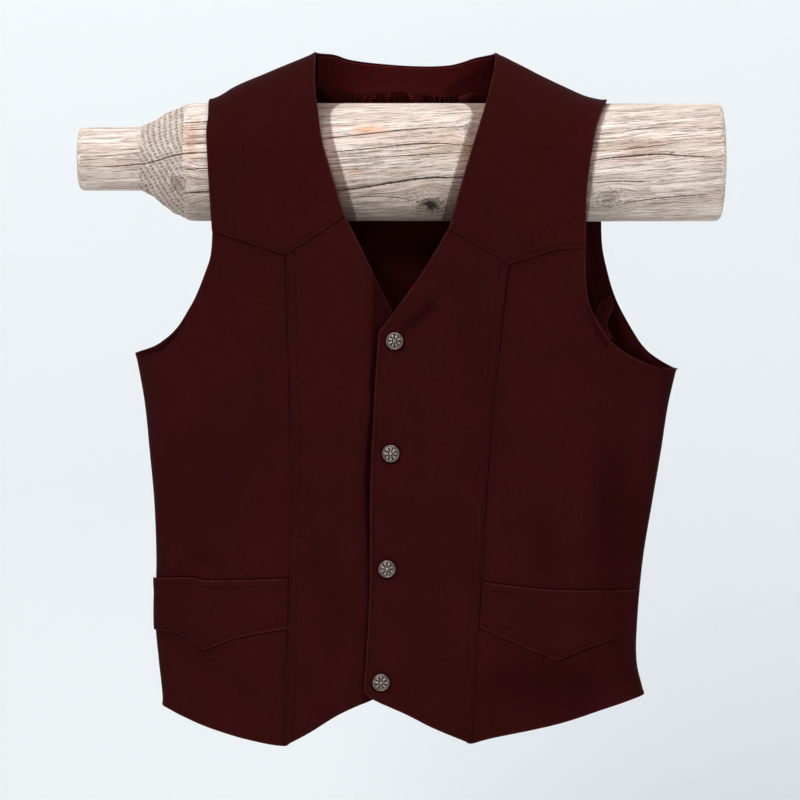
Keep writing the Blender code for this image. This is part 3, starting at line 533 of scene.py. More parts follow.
# Yokes. Two pointed pieces of maroon leather over the shoulders, sewn to the back along the
# crest. Their lower edges are turned under and lapped over the fronts with a row of stitches.
SHOULDER_RADIUS = 59.9
HALF_SEAM = 0.15
OVAL_POWER = 2.6
FLAT_HEIGHT = -60.0
ROUND_HEIGHT = -185.3
DROP_PER_TURN = 60.0
SLOPE_STEP = 0.004
UNDERARM_LEFT = -185.3
UNDERARM_RIGHT = -200.0
BODY = [
    # up, half width left, half width right, depth in front, depth behind
    (0, 272, 274, SHOULDER_RADIUS, 66), (-60, 271, 273, 60.8, 64), (-120, 268, 270, 61, 60),
    (-160, 264.5, 267, 60.5, 57.5), (-185.3, 261.5, 265, 60, 56), (-200, 258.5, 263.4, 59.6, 54.8),
    (-235, 252.5, 255.5, 58.5, 53), (-280, 248, 248.5, 57, 50), (-330, 243.5, 240, 55, 47),
    (-385, 241.5, 231, 53, 44.5), (-445, 242.5, 225.5, 50.5, 42), (-485, 239, 225, 49, 40.5),
    (-520, 235.5, 232.5, 47.5, 39), (-565, 235.5, 235, 46, 37.5),
]
RIDGE = [
    # across, height of the crest over the log
    (-264, 59.9), (-196, 59.9), (-181, 64.5), (-166, 72.8), (-136, 86), (-105, 98.5),
    (-86.5, 106.8), (-60, 118), (-30, 129), (0, 134), (30, 130), (60, 118.5), (87.4, 106.3),
    (98, 102), (135, 83), (172, 65), (188, 60.6), (200, 59.9), (264, 59.9),
]
FOLDS = [
    # face, across and up of the start, across and up of the end, half width, height
    (-1, 5, -162, 39, -130, 6.5, -2.6), (-1, -229, -182, -224, -262, 18, 3.0),
    (-1, -252, -186.5, -234, -182.5, 2.2, -1.0), (-1, -234, -182.5, -219, -168.5, 2.4, -1.3),
    (-1, -219, -168.5, -213, -158, 2.0, -0.6), (-1, 174.5, -141, 179.5, -159, 2.4, -0.9),
    (-1, 179.5, -159, 192.5, -179, 2.4, -1.2),
    (-1, -206, -395, -190, -538, 19, 3.8), (-1, 214, -255, 206, -372, 24, -4),
    (-1, 140, -150, 152, -330, 28, 2.5), (-1, -150, -130, -165, -330, 26, -2.5),
    (-1, -232, -468, -226, -525, 9, -1.6), (-1, -176, -420, -160, -520, 14, -1.3),
    (-1, -192, -396, -191, -455, 6, 1.3), (-1, -203, -470, -207, -520, 7, 1.4),
    (-1, -219, -462, -222, -515, 6, -1.6),
    (-1, 166, -432, 158, -522, 16, 1.6), (-1, 196, -440, 204, -500, 12, -1.2),
    (-1, 60, -200, 52, -420, 20, -1.0), (-1, -70, -220, -66, -430, 22, 1.1),
    (-1, 22, -262, 26, -372, 12, 0.8), (-1, -205, -200, -176, -235, 12, -1.2),
    (-1, 205, -222, 178, -250, 13, -1.3), (-1, -150, 20, -140, -50, 16, 0.8),
    (-1, 128, 20, 140, -55, 17, 0.8), (-1, 34, -440, 48, -520, 12, -1.1),
    (-1, -40, -470, -70, -520, 12, 0.9), (-1, 120, -340, 128, -392, 14, -0.9),
    (1, -95, -90, -120, -400, 36, 4.5), (1, 80, -80, 105, -380, 34, 4),
    (1, 5, -120, -8, -470, 38, -4.5), (1, -196, -205, -150, -262, 26, -3),
    (1, 192, -215, 155, -270, 26, -3), (1, -60, -250, -40, -430, 20, 1.8),
    (1, 60, -300, 74, -470, 22, -1.9), (1, -170, -300, -160, -480, 20, 1.7),
    (1, 160, -320, 168, -480, 18, 1.6), (1, -30, -60, 34, -48, 14, -1.2),
]
# Painted shade: soft dark strips along creases, and soft darker patches, listed for each face.
SHADES = [
    # face, across and up of the start, across and up of the end, half width, depth
    (-1, 200, -300, 199, -400, 20, 0.36), (-1, 128, -352, 134, -400, 17, 0.22),
    (-1, 96, -500, 166, -506, 25, 0.36), (-1, 205, -440, 210, -500, 12, 0.25),
    (-1, -80, -370, -68, -460, 20, 0.20), (-1, -92, -380, -84, -388, 8, 0.28),
    (-1, -196, -378, -182, -386, 9, 0.30), (-1, -205, -470, -160, -505, 17, 0.16),
    (-1, 2, -161, 25, -142, 5.5, 0.45), (-1, 120, -430, 180, -440, 14, 0.15),
    (-1, -252, -186.5, -234, -182.5, 1.9, 0.80), (-1, -234, -182.5, -219, -168.5, 2.1, 0.95),
    (-1, -219, -168.5, -213, -158, 1.6, 0.55), (-1, 174.5, -141, 179.5, -159, 2.0, 0.45),
    (-1, 179.5, -159, 192.5, -179, 2.1, 0.60), (-1, 10, -230, 14, -300, 12, 0.14),
    (-1, -178, -240, -196, -330, 22, 0.10), (-1, 60, -130, 70, -300, 16, 0.08),
]
FOLD_FADE_START = math.radians(74)
FOLD_FADE_RUN = math.radians(15)
SHOULDER_LEFT = (-190.0, -86.5)
SHOULDER_RIGHT = (87.4, 196.0)
ARMHOLE_LEFT_HIGH = [(-188.5, 42), (-189.5, 25), (-188.5, 5), (-185.5, -45), (-183.5, -71)]
ARMHOLE_RIGHT_HIGH = [(189, 48), (182, 28), (176, -4), (172.5, -38), (171.5, -86)]
NECK_LEFT_HIGH = [(-86, 71), (-83, 45), (-79, 16), (-72, -9), (-58, -56)]
NECK_RIGHT_HIGH = [(86, 91), (82, 72), (75, 46), (56, -16), (41.5, -68.5)]
YOKE_SEAM_LEFT_OUTER = [(-183.5, -71), (-145.5, -83), (-114, -93.5)]
YOKE_SEAM_LEFT_INNER = [(-114, -93.5), (-86, -75.5), (-58, -56)]
YOKE_SEAM_RIGHT_INNER = [(41.5, -68.5), (69, -84), (99.6, -102)]
YOKE_SEAM_RIGHT_OUTER = [(99.6, -102), (118, -96.5), (143, -89), (171.5, -86)]
LEATHER = 1.6
LAP_RISE, LAP_REACH, LAP_RUN = 0.9, 3.5, 7.0
LAP_SINK, SINK_REACH, SINK_RUN = 0.5, 8.0, 10.0
ROLL_RISE, ROLL_REACH, ROLL_RUN = 0.5, 1.6, 3.4
STITCH_LENGTH, STITCH_GAP = 2.4, 0.9
STITCH_HALF_WIDTH, STITCH_HALF_HEIGHT, STITCH_PROUD = 0.28, 0.20, 0.03
EDGE_ROW, LAP_ROW, NEAR_ROW, SECOND_ROW = 2.8, 4.2, 1.68, 8.0
LONGEST_LINE = 64
FAR = 99.0


def half_width(hand, up):
    """Distance from the centre line to the side seam."""
    return np.where(np.asarray(hand) < 0, table_curve(BODY, up, 1), table_curve(BODY, up, 2))


def form(face, around, over):
    """Points of the hanging form; face is -1 in front and 1 behind.

    around is the angle from the centre line, over the angle over the log; below the log,
    over is the drop, DROP_PER_TURN millimetres to the unit.
    """
    low = np.minimum(over, 0) * DROP_PER_TURN
    across = half_width(around, low) * np.sin(around)
    depth = table_curve(BODY, low, 3 if face < 0 else 4)
    up = np.where(over > 0, table_curve(RIDGE, across, 1) * np.sin(over), low)
    fullness = np.clip(1 - np.abs(np.sin(around)) ** OVAL_POWER, 0, None)
    oval = np.copysign(fullness ** (1 / OVAL_POWER), np.cos(around))
    rounding = smooth_step((FLAT_HEIGHT - up) / (FLAT_HEIGHT - ROUND_HEIGHT))
    reach = np.where(over > 0, np.cos(over), 1 - rounding * (1 - oval))
    return np.stack([across, face * (HALF_SEAM + (depth - HALF_SEAM) * reach), up], axis=-1)


def form_slopes(face, places):
    """How the form runs sideways and upwards at some places, and its outward normal."""
    around, over = places[..., 0], places[..., 1]
    sideways = form(face, around + SLOPE_STEP, over) - form(face, around - SLOPE_STEP, over)
    upwards = form(face, around, over + SLOPE_STEP) - form(face, around, over - SLOPE_STEP)
    normal = np.cross(sideways, upwards) * -face
    normal /= np.linalg.norm(normal, axis=-1, keepdims=True)
    return sideways / (2 * SLOPE_STEP), upwards / (2 * SLOPE_STEP), normal


def on_form(face, places):
    return form(face, places[..., 0], places[..., 1])


def form_places(points):
    """Angles on the form of points of the pattern, given as across and up."""
    across, up = np.asarray(points, float).T
    around = np.arcsin(np.clip(across / half_width(across, np.minimum(up, 0)), -1, 1))
    over_log = np.arcsin(np.clip(up / table_curve(RIDGE, across, 1), -1, 1))
    return np.stack([around, np.where(up < 0, up / DROP_PER_TURN, over_log)], axis=-1)


def smooth_line(points, samples=24):
    """Dense points of a smooth line through the pattern's turning points."""
    known = np.asarray(points, float)
    ahead = np.vstack([known[1:], known[-1:]])
    behind = np.vstack([known[:1], known[:-1]])
    slopes = (ahead - behind) / 2
    t = np.linspace(0, 1, samples, endpoint=False)[:, None]
    line = []
    for index in range(len(known) - 1):
        line.append(
            known[index] * (2 * t ** 3 - 3 * t ** 2 + 1) + slopes[index] * (t ** 3 - 2 * t ** 2 + t)
            + known[index + 1] * (3 * t ** 2 - 2 * t ** 3) + slopes[index + 1] * (t ** 3 - t ** 2)
        )
    return np.vstack(line + [known[-1:]])


def shoulder_line(start, end):
    across = np.linspace(start, end, 80)
    return np.stack([across, table_curve(RIDGE, across, 1)], axis=-1)


def from_crest(across, points):
    """A line that starts on the shoulder crest."""
    return smooth_line([(across, float(table_curve(RIDGE, across, 1)))] + points)


def side_line(hand, top, bottom, inset=0.0):
    up = np.linspace(top, bottom, 120)
    return np.stack([hand * (half_width(hand, up) - inset), up], axis=-1)


def spaced(face, line, count):
    """Places on the form, evenly spaced along the cloth."""
    places = form_places(line)
    steps = np.linalg.norm(np.diff(on_form(face, places), axis=0), axis=-1)
    lengths = np.concatenate([[0], np.cumsum(steps)])
    wanted = np.linspace(0, lengths[-1], count + 1)
    return np.stack([np.interp(wanted, lengths, places[:, axis]) for axis in (0, 1)], axis=-1)


def joined(face, *stretches):
    """One edge of a panel from stretches, each a dense line or a list of turning points."""
    dense = [(smooth_line(line) if isinstance(line, list) else line, count) for line, count in stretches]
    parts = [spaced(face, line, count) for line, count in dense]
    return np.vstack(parts[:1] + [part[1:] for part in parts[1:]])


def fill_edges(top, bottom, left, right):
    """Rows of places that fill the four edges of a panel."""
    b = np.linspace(0, 1, len(left))[:, None, None]
    a = np.linspace(0, 1, len(top))[None, :, None]
    edges = (1 - b) * top[None] + b * bottom[None] + (1 - a) * left[:, None] + a * right[:, None]
    corners = (1 - b) * ((1 - a) * top[0] + a * top[-1]) + b * ((1 - a) * bottom[0] + a * bottom[-1])
    return edges - corners


def segment_distance(points, start, end):
    """Distance of points from a straight stretch between two places."""
    start, end = np.asarray(start, float), np.asarray(end, float)
    along = np.clip((points - start) @ (end - start) / ((end - start) @ (end - start)), 0, 1)
    return np.linalg.norm(points - start - along[..., None] * (end - start), axis=-1)


def line_distance(points, line):
    """Distance of points from a line, read at no more than LONGEST_LINE places along it."""
    picks = np.unique(np.linspace(0, len(line) - 1, LONGEST_LINE).round().astype(int))
    nearest = np.full(points.shape[:-1], np.inf)
    for start, end in zip(line[picks], line[picks[1:]]):
        if np.linalg.norm(end - start) > 1e-6:
            nearest = np.minimum(nearest, segment_distance(points, start, end))
    return nearest


def nearest_line(points, lines):
    """Distance of points from the nearest of some lines, FAR where there is none."""
    return np.min([line_distance(points, line) for line in lines] + [np.full(len(points), FAR)], axis=0)


def lap(points, line, rise, reach, run):
    """Lift of the cloth beside a lapped seam."""
    return rise * (1 - smooth_step((line_distance(points, line) - reach) / run))


def fold_lift(face, places, points):
    """Soft folds and creases, and the leather's own slight unevenness."""
    seen = points[..., [0, 2]]
    total = waves(points, 70, 0.35, 11) + waves(points, 24, 0.10, 12)
    for fold_face, x0, z0, x1, z1, breadth, height in FOLDS:
        if fold_face == face:
            away = segment_distance(seen, (x0, z0), (x1, z1)) / breadth
            total = total + height * np.exp(-(away ** 2))
    return total * (1 - smooth_step((np.abs(places[..., 0]) - FOLD_FADE_START) / FOLD_FADE_RUN))


def listed_painted_shade(face, points):
    """Painted shade: how much darker the leather is painted in its creases and in soft patches."""
    total = np.zeros(points.shape[:-1])
    for shade_face, x0, z0, x1, z1, breadth, depth in SHADES:
        if shade_face == face:
            away = segment_distance(points[..., [0, 2]], (x0, z0), (x1, z1)) / breadth
            total = np.maximum(total, depth * np.exp(-(away ** 2)))
    return total


def cloth_points(face, places, lift):
    """Points of the cloth, lifted off the form by its folds and by lift(points)."""
    base = on_form(face, places)
    total = fold_lift(face, places, base) + lift(base)
    return base + form_slopes(face, places)[2] * total[..., None]


def rolled(points, lines):
    """Lift of the cloth where its open edges are turned in and rolled."""
    return sum(lap(points, line, ROLL_RISE, ROLL_REACH, ROLL_RUN) for line in lines)


def cloth_grid(name, face, places, lift, free=(), lapped=(), under=(), rows=(), painted_shade=None):
    """A mesh of the cloth's shown side, which stores how far each point is from its edges.

    free are its open edges, lapped the edges that lie over a neighbour, under the edges of
    neighbours that lie over it, and rows the rows of stitches that pucker it. painted_shade(points)
    gives the piece's own painted shade, stored together with the listed painted shade of its face.
    """
    row_count, column_count = places.shape[:2]
    sheet = bmesh.new()
    bmesh.ops.create_grid(sheet, x_segments=column_count - 1, y_segments=row_count - 1, size=1)
    columns = [round((vert.co.x + 1) / 2 * (column_count - 1)) for vert in sheet.verts]
    picks = [round((1 - vert.co.y) / 2 * (row_count - 1)) for vert in sheet.verts]
    if face > 0:
        bmesh.ops.reverse_faces(sheet, faces=sheet.faces)
    mesh = bpy.data.meshes.new(name)
    sheet.to_mesh(mesh)
    sheet.free()
    write_points(mesh, cloth_points(face, places, lift)[picks, columns])
    base = on_form(face, places)[picks, columns]
    sewn = [on_form(face, shifted(face, line, distance)) for line, distance, start, end in rows]
    for label, lines in (("edge_mm", free), ("lap_mm", lapped), ("under_mm", under), ("row_mm", sewn)):
        write_values(mesh, label, nearest_line(base, lines))
    # Painted shade and shadow, stored for the leather material to darken it.
    own_painted_shade = painted_shade(base) if painted_shade else 0.0
    write_values(mesh, "painted_shade", np.maximum(listed_painted_shade(face, base), own_painted_shade))
    return mesh


def cloth_piece(name, node, mesh, thickness, *materials, slot="leather", round_off=0.55, offset=-1):
    """A cloth piece that stands for its CAD node; a second material is its inner side's."""
    piece = show(name, mesh, slot, *materials)
    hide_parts(node)
    wall = piece.modifiers.new("wall", "SOLIDIFY")
    wall.thickness = thickness * MM
    wall.offset = offset
    wall.material_offset = len(materials) - 1
    soft = piece.modifiers.new("soft_edges", "BEVEL")
    soft.width = round_off * MM
    soft.segments = 2
    soft.limit_method = "ANGLE"
    soft.angle_limit = math.radians(55)
    return piece


def shifted(face, places, distance):
    """The line of places moved sideways along the cloth, to the left of its direction."""
    sideways, upwards, normal = form_slopes(face, places)
    ahead = np.gradient(on_form(face, places), axis=0)
    ahead /= np.linalg.norm(ahead, axis=-1, keepdims=True)
    aside = np.cross(normal, ahead) * distance
    a, b, c = ((u * v).sum(-1) for u, v in ((sideways, sideways), (sideways, upwards), (upwards, upwards)))
    p, q = (sideways * aside).sum(-1), (upwards * aside).sum(-1)
    scale = np.maximum(a * c - b * b, 1e-9)
    return places + np.stack([(c * p - b * q) / scale, (a * q - b * p) / scale], axis=-1)


def stitches(name, face, rows, lift):
    """Rows of saddle stitches: each is a small bead of thread half sunk in the cloth."""
    thread = bmesh.new()
    for places, distance, start, end in rows:
        moved = shifted(face, places, distance)
        points = cloth_points(face, moved, lift)
        normals = form_slopes(face, moved)[2]
        lengths = np.concatenate([[0], np.cumsum(np.linalg.norm(np.diff(points, axis=0), axis=-1))])
        pitch = STITCH_LENGTH + STITCH_GAP
        for at in np.arange(start + pitch / 2, lengths[-1] - end - pitch / 2, pitch):
            spot, ahead, up = (
                Vector([float(np.interp(value, lengths, source[:, axis])) for axis in range(3)])
                for value, source in ((at, points), (at + 1, points), (at, normals))
            )
            ahead = (ahead - spot).normalized()
            side = up.cross(ahead).normalized()
            turn = Matrix((ahead, side, ahead.cross(side))).transposed().to_4x4()
            size = Matrix.Diagonal((STITCH_LENGTH / 2, STITCH_HALF_WIDTH, STITCH_HALF_HEIGHT, 1 / MM))
            bmesh.ops.create_uvsphere(
                thread, u_segments=6, v_segments=4, radius=1,
                matrix=Matrix.Translation((spot + up * STITCH_PROUD) * MM) @ turn @ (size * MM),
            )
    mesh = bpy.data.meshes.new(name)
    thread.to_mesh(mesh)
    thread.free()
    return show(name, mesh, "leather", thread_material)


leather_group, taken, given = node_group(
    "leather",
    {
        "Place": "vector", "Hide": "colour", "Brown": "colour", "Worn": "colour", "Edge": "value",
        "Lap": "value", "Under": "value", "Row": "value", "Painted Shade": "value",
    },
    {"Colour": "colour", "Roughness": "value", "Height": "value"},
)
place, hide = taken["Place"], taken["Hide"]
bend = noise(place, (0.35, 0.35, 0.35), 2.0)
bent = vector_math("ADD", place, combine(bend, bend, bend))
pebbles = node_after("ShaderNodeTexVoronoi", {"Vector": bent, "Scale": 0.95})
pores = noise(place, (2.4, 2.4, 2.4), 3.0, 0.6)
wrinkles = noise(bent, (0.30, 0.30, 0.22), 5.0, 0.62, 0.8)
clouds = noise(place, (0.020, 0.020, 0.013), 2.0)
specks = noise(place, (0.34, 0.34, 0.30), 4.0, 0.7)
rub = noise(place, (0.11, 0.11, 0.11))
tone = noise(place, (0.009, 0.009, 0.007), 2.0)
breaks = ramp(noise(place, (0.24, 0.24, 0.24), 2.0), 0.36, 0.60, 0.25, 1.0)
edge_rub = ramp(taken["Edge"], 0.2, 1.9, 1.0, 0.0) * ramp(rub, 0.3, 0.65, 0.25, 0.9)
lap_rub = ramp(taken["Lap"], 0.1, 1.3, 1.0, 0.0) * ramp(rub, 0.3, 0.65, 0.1, 0.5)
rubbed = highest(edge_rub, lap_rub)
groove = ramp(taken["Row"], 0.2, 1.5, 1.0, 0.0) * breaks
# Painted shade and shadow: darker in the stitch grooves (partly the holes' own darkness), wherever painted
# shade is stored, and in a thin painted shadow beside the edges of neighbours that lie over the leather.
painted_shadow_beside_edges = ramp(taken["Under"], 0.4, 1.9, 1.0, 0.0)
shade = highest(highest(groove * 0.60, taken["Painted Shade"]), painted_shadow_beside_edges * 0.85)
dark = mix_colours(0.74, hide, (0.0, 0.0, 0.0, 1))
colour = mix_colours(ramp(clouds, 0.38, 0.62), hide, taken["Brown"])
for share, paint in (
    (ramp(tone, 0.56, 0.40, 0.0, 0.14), dark), (ramp(specks, 0.50, 0.30, 0.0, 0.30), dark),
    (ramp(pebbles, 0.55, 0.95, 0.0, 0.14), dark), (rubbed * 0.55, taken["Worn"]), (shade, dark),
):
    colour = mix_colours(share, colour, paint)
feed(given, {
    "Colour": colour, "Roughness": ramp(pores, 0.3, 0.7, 0.58, 0.74) - rubbed * 0.08,
    "Height": pebbles * -0.10 + pores * 0.07 + wrinkles * 0.16 + groove * -0.30,
})

HIDE = (0.0348, 0.0047, 0.0055, 1)
BROWN_HIDE = (0.0315, 0.0048, 0.0042, 1)
WORN_HIDE = (0.088, 0.019, 0.019, 1)
THREAD = (0.0400, 0.0052, 0.0060, 1)
HIDE_GLEAM = (1.0, 0.33, 0.33, 1)
SATIN = (0.0052, 0.0004, 0.0003, 1)
SATIN_BRIGHT = (0.0110, 0.0009, 0.0008, 1)
SATIN_GLEAM = (0.90, 0.13, 0.14, 1)


def leather_material(name, hide, brown, gleam=0.012):
    """Maroon leather: its dye turns softly from one colour to the other."""
    leather, shader = new_material(name, Specular_IOR_Level=gleam, Specular_Tint=HIDE_GLEAM)
    values = {"Place": place_in_mm(shader), "Hide": hide, "Brown": brown, "Worn": WORN_HIDE}
    stores = {"Edge": "edge_mm", "Lap": "lap_mm", "Under": "under_mm", "Row": "row_mm", "Painted Shade": "painted_shade"}
    values.update({socket: stored(shader, label) for socket, label in stores.items()})
    out = use_group(leather_group, values)
    feed(shader.inputs, {
        "Base Color": out["Colour"], "Roughness": out["Roughness"], "Normal": bump(out["Height"], 0.85),
    })
    return leather


leather = leather_material("maroon_leather", HIDE, BROWN_HIDE)

satin, shader = new_material("maroon_satin", Specular_IOR_Level=0.26, Specular_Tint=SATIN_GLEAM)
place = place_in_mm(shader)
twill = noise(place, (6.0, 6.0, 0.7), 2.0)
colour = mix_colours(ramp(noise(place, (0.03, 0.03, 0.03)), 0.3, 0.7), SATIN, SATIN_BRIGHT)
feed(shader.inputs, {
    "Base Color": mix_colours(ramp(twill, 0.4, 0.7, 0.0, 0.35), colour, SATIN_BRIGHT),
    "Roughness": ramp(twill, 0.3, 0.7, 0.36, 0.50), "Normal": bump(twill * 0.05, 0.6),
})

thread_material, shader = new_material("maroon_thread", Specular_IOR_Level=0.12, Specular_Tint=HIDE_GLEAM)
strands = noise(place_in_mm(shader), (3.5, 3.5, 3.5), 2.0)
feed(shader.inputs, {
    "Base Color": mix_colours(ramp(strands, 0.35, 0.65), THREAD, BROWN_HIDE),
    "Roughness": ramp(strands, 0.3, 0.7, 0.5, 0.7), "Normal": bump(strands * 0.12, 0.7),
})

YOKE_COLUMNS, POINT_COLUMNS, YOKE_ROWS = 36, 30, 92
yoke_seams = {
    -1: joined(-1, (YOKE_SEAM_LEFT_OUTER, YOKE_COLUMNS), (YOKE_SEAM_LEFT_INNER, POINT_COLUMNS)),
    1: joined(-1, (YOKE_SEAM_RIGHT_INNER, POINT_COLUMNS), (YOKE_SEAM_RIGHT_OUTER, YOKE_COLUMNS)),
}
for hand, side_name, shoulder, left_line, right_line in (
    (-1, "left", SHOULDER_LEFT, ARMHOLE_LEFT_HIGH, NECK_LEFT_HIGH),
    (1, "right", SHOULDER_RIGHT, NECK_RIGHT_HIGH, ARMHOLE_RIGHT_HIGH),
):
    seam = yoke_seams[hand]
    top = joined(-1, (shoulder_line(*shoulder), YOKE_COLUMNS + POINT_COLUMNS))
    left = joined(-1, (from_crest(shoulder[0], left_line), YOKE_ROWS))
    right = joined(-1, (from_crest(shoulder[1], right_line), YOKE_ROWS))
    seam_points = on_form(-1, seam)
    free_lines = [on_form(-1, left), on_form(-1, right)]

    def yoke_lift(points):
        return lap(points, seam_points, LAP_RISE, LAP_REACH, LAP_RUN) + rolled(points, free_lines)

    name = f"{side_name}_yoke"
    seam_row = (seam, LAP_ROW, 2, 2)
    places = fill_edges(top, seam, left, right)
    mesh = cloth_grid(name, -1, places, yoke_lift, free_lines, [seam_points], rows=[seam_row])
    yoke = cloth_piece(name, f"yoke_{side_name}", mesh, LEATHER, leather, satin)
    sewing = stitches(f"{name}_stitches", -1, [seam_row], yoke_lift)

# Painted shadow of the cloth: the log is painted darker in strips right beside the cloth, in the
# neck opening and outside the right armhole, than in the middle of the neck opening.
STRIP_LEFT, STRIP_RIGHT, STRIP_ARMHOLE, STRIP_SOFT = 11.0, 9.0, 5.0, 1.6
CORNER_REACH = 19.0

points = read_points(log_mesh)
seen = points[:, [0, 2]]
neck_left = from_crest(SHOULDER_LEFT[1], NECK_LEFT_HIGH)
neck_right = from_crest(SHOULDER_RIGHT[0], NECK_RIGHT_HIGH)
armhole_right = from_crest(SHOULDER_RIGHT[1], ARMHOLE_RIGHT_HIGH)
inside = np.minimum(
    line_distance(seen, neck_left) - STRIP_LEFT, line_distance(seen, neck_right) - STRIP_RIGHT)
corner = np.hypot(*(np.clip(CORNER_REACH - value, 0, None) for value in (inside, LOG_RADIUS - seen[:, 1])))
inside = np.minimum(inside, CORNER_REACH - corner)
in_neck = (seen[:, 0] > -95) & (seen[:, 0] < 95)
strip = np.where(in_neck, inside, line_distance(seen, armhole_right) - STRIP_ARMHOLE)
strip = (1 - smooth_step(strip / STRIP_SOFT + 0.5)) * (points[:, 1] < 0)
write_values(log_mesh, "painted_shadow_beside_cloth", strip * (seen[:, 0] > -95))


# Side fronts. Leather panels from the armhole and the side seam to the princess seam. Their
# tops go up under the yokes, and their inner edges go under the centre fronts.
ARMHOLE_LEFT_LOW = [
    (-183.5, -71), (-184.7, -92), (-190, -109), (-199.7, -132.5), (-208.6, -148), (-217.5, -161.5),
    (-228, -171.5), (-241, -179.5), (-261.5, UNDERARM_LEFT),
]
ARMHOLE_RIGHT_LOW = [
    (171.5, -86), (172, -116), (175.5, -140), (187, -162), (198, -176.5), (213, -187.5),
    (232, -196), (249, -200), (263.4, UNDERARM_RIGHT),
]
PRINCESS_LEFT = [(-114, -93.5), (-111.5, -160), (-109.5, -279), (-110.7, -401), (-115.5, -562)]
PRINCESS_RIGHT = [(99.6, -102), (91.5, -160), (80, -280), (72.5, -400), (63, -559.5)]
HEM_LEFT_OUTER = [(-235.5, -526.5), (-218, -533.5), (-170, -551), (-138, -559), (-115.5, -562)]
HEM_RIGHT_OUTER = [(63, -559.5), (84, -554), (143, -542), (190, -528), (232.5, -515.5)]
BANDS = {
    # top line, lower line to the point, lower line from the point
    -1: ([(-241.8, -403), (-205, -400.6), (-182, -403.5), (-111.8, -401.2)],
         [(-242.2, -453), (-214, -456.5), (-192, -470.5)], [(-192, -470.5), (-160, -458.5), (-112, -449)]),
    1: ([(73.8, -404.5), (108.5, -409), (150, -412.5), (225, -413.7)],
        [(70.8, -448), (107, -463.5), (146, -480.5)], [(146, -480.5), (178, -468), (222.2, -456.5)]),
}
UNDER_LAP = 6.0
TUCK_RUN = 22.0
TUCKED_CORNER_LEFT = (-109.5, -558.0)
TUCKED_CORNER_RIGHT = (57.0, -556.4)


def tucked(points, aside, corner):
    """A seam line moved aside under its neighbour, from nothing at its start to a corner."""
    line = smooth_line(points)
    gone = np.linalg.norm(line - line[0], axis=-1)
    line = line + np.stack([aside * smooth_step(gone / TUCK_RUN), np.zeros(len(line))], axis=-1)
    ending = smooth_step(1 - (gone[-1] - gone) / TUCK_RUN)[:, None]
    return line + (np.asarray(corner) - line[-1]) * ending


def raised(points, start_aside=0.0, end_aside=0.0):
    """The yoke seam's line moved up under the yoke, its ends drawn in from the open edges."""
    line = np.array(points, float) + (0, UNDER_LAP)
    line[0, 0] += start_aside
    line[-1, 0] += end_aside
    return smooth_line(line)


princess_points = {
    -1: on_form(-1, spaced(-1, smooth_line(PRINCESS_LEFT), 80)),
    1: on_form(-1, spaced(-1, smooth_line(PRINCESS_RIGHT), 80)),
}
yoke_seam_points = {hand: on_form(-1, seam) for hand, seam in yoke_seams.items()}
side_columns, arm_rows, body_rows = 70, 50, 140
side_edges = {
    -1: (
        joined(-1, (raised(YOKE_SEAM_LEFT_OUTER, 0.8), side_columns)),
        joined(-1, (HEM_LEFT_OUTER + [TUCKED_CORNER_LEFT], side_columns)),
        joined(-1, ([(-183.0, -65.0)] + ARMHOLE_LEFT_LOW[1:], arm_rows),
               (side_line(-1, UNDERARM_LEFT, HEM_LEFT_OUTER[0][1]), body_rows)),
        joined(-1, (tucked([(-114.0, -87.5)] + PRINCESS_LEFT[1:], UNDER_LAP,
                           TUCKED_CORNER_LEFT), arm_rows + body_rows)),
    ),
    1: (
        joined(-1, (raised(YOKE_SEAM_RIGHT_OUTER, 0.0, -0.8), side_columns)),
        joined(-1, ([TUCKED_CORNER_RIGHT] + HEM_RIGHT_OUTER, side_columns)),
        joined(-1, (tucked([(99.6, -96.0)] + PRINCESS_RIGHT[1:], -UNDER_LAP,
                           TUCKED_CORNER_RIGHT), arm_rows + body_rows)),
        joined(-1, ([(170.9, -80.0)] + ARMHOLE_RIGHT_LOW[1:], arm_rows),
               (side_line(1, UNDERARM_RIGHT, HEM_RIGHT_OUTER[-1][1]), body_rows)),
    ),
}
side_lifts = {}
for hand, side_name in ((-1, "left"), (1, "right")):
    top, bottom, left, right = side_edges[hand]
    outer = left if hand < 0 else right
    open_lines = [on_form(-1, outer[:arm_rows + 1]), on_form(-1, bottom)]
    inner_seam, yoke_seam = princess_points[hand], yoke_seam_points[hand]

    def side_lift(points, inner_seam=inner_seam, yoke_seam=yoke_seam, open_lines=open_lines):
        under_yoke = lap(points, yoke_seam, LAP_SINK, SINK_REACH, SINK_RUN)
        under_centre = lap(points, inner_seam, LAP_SINK, SINK_REACH, SINK_RUN)
        return rolled(points, open_lines) - under_yoke - under_centre

    side_lifts[hand] = side_lift
    name = f"{side_name}_side_front"
    places = fill_edges(top, bottom, left, right)
    band_lines = [on_form(-1, spaced(-1, smooth_line(line), 40)) for line in BANDS[hand]]
    mesh = cloth_grid(
        name, -1, places, side_lift, open_lines, under=[inner_seam, yoke_seam] + band_lines)
    side_front = cloth_piece(name, f"side_front_{side_name}", mesh, LEATHER, leather, satin)
    sewing = stitches(f"{name}_stitches", -1, [(bottom, EDGE_ROW, 3, 3)], side_lift)


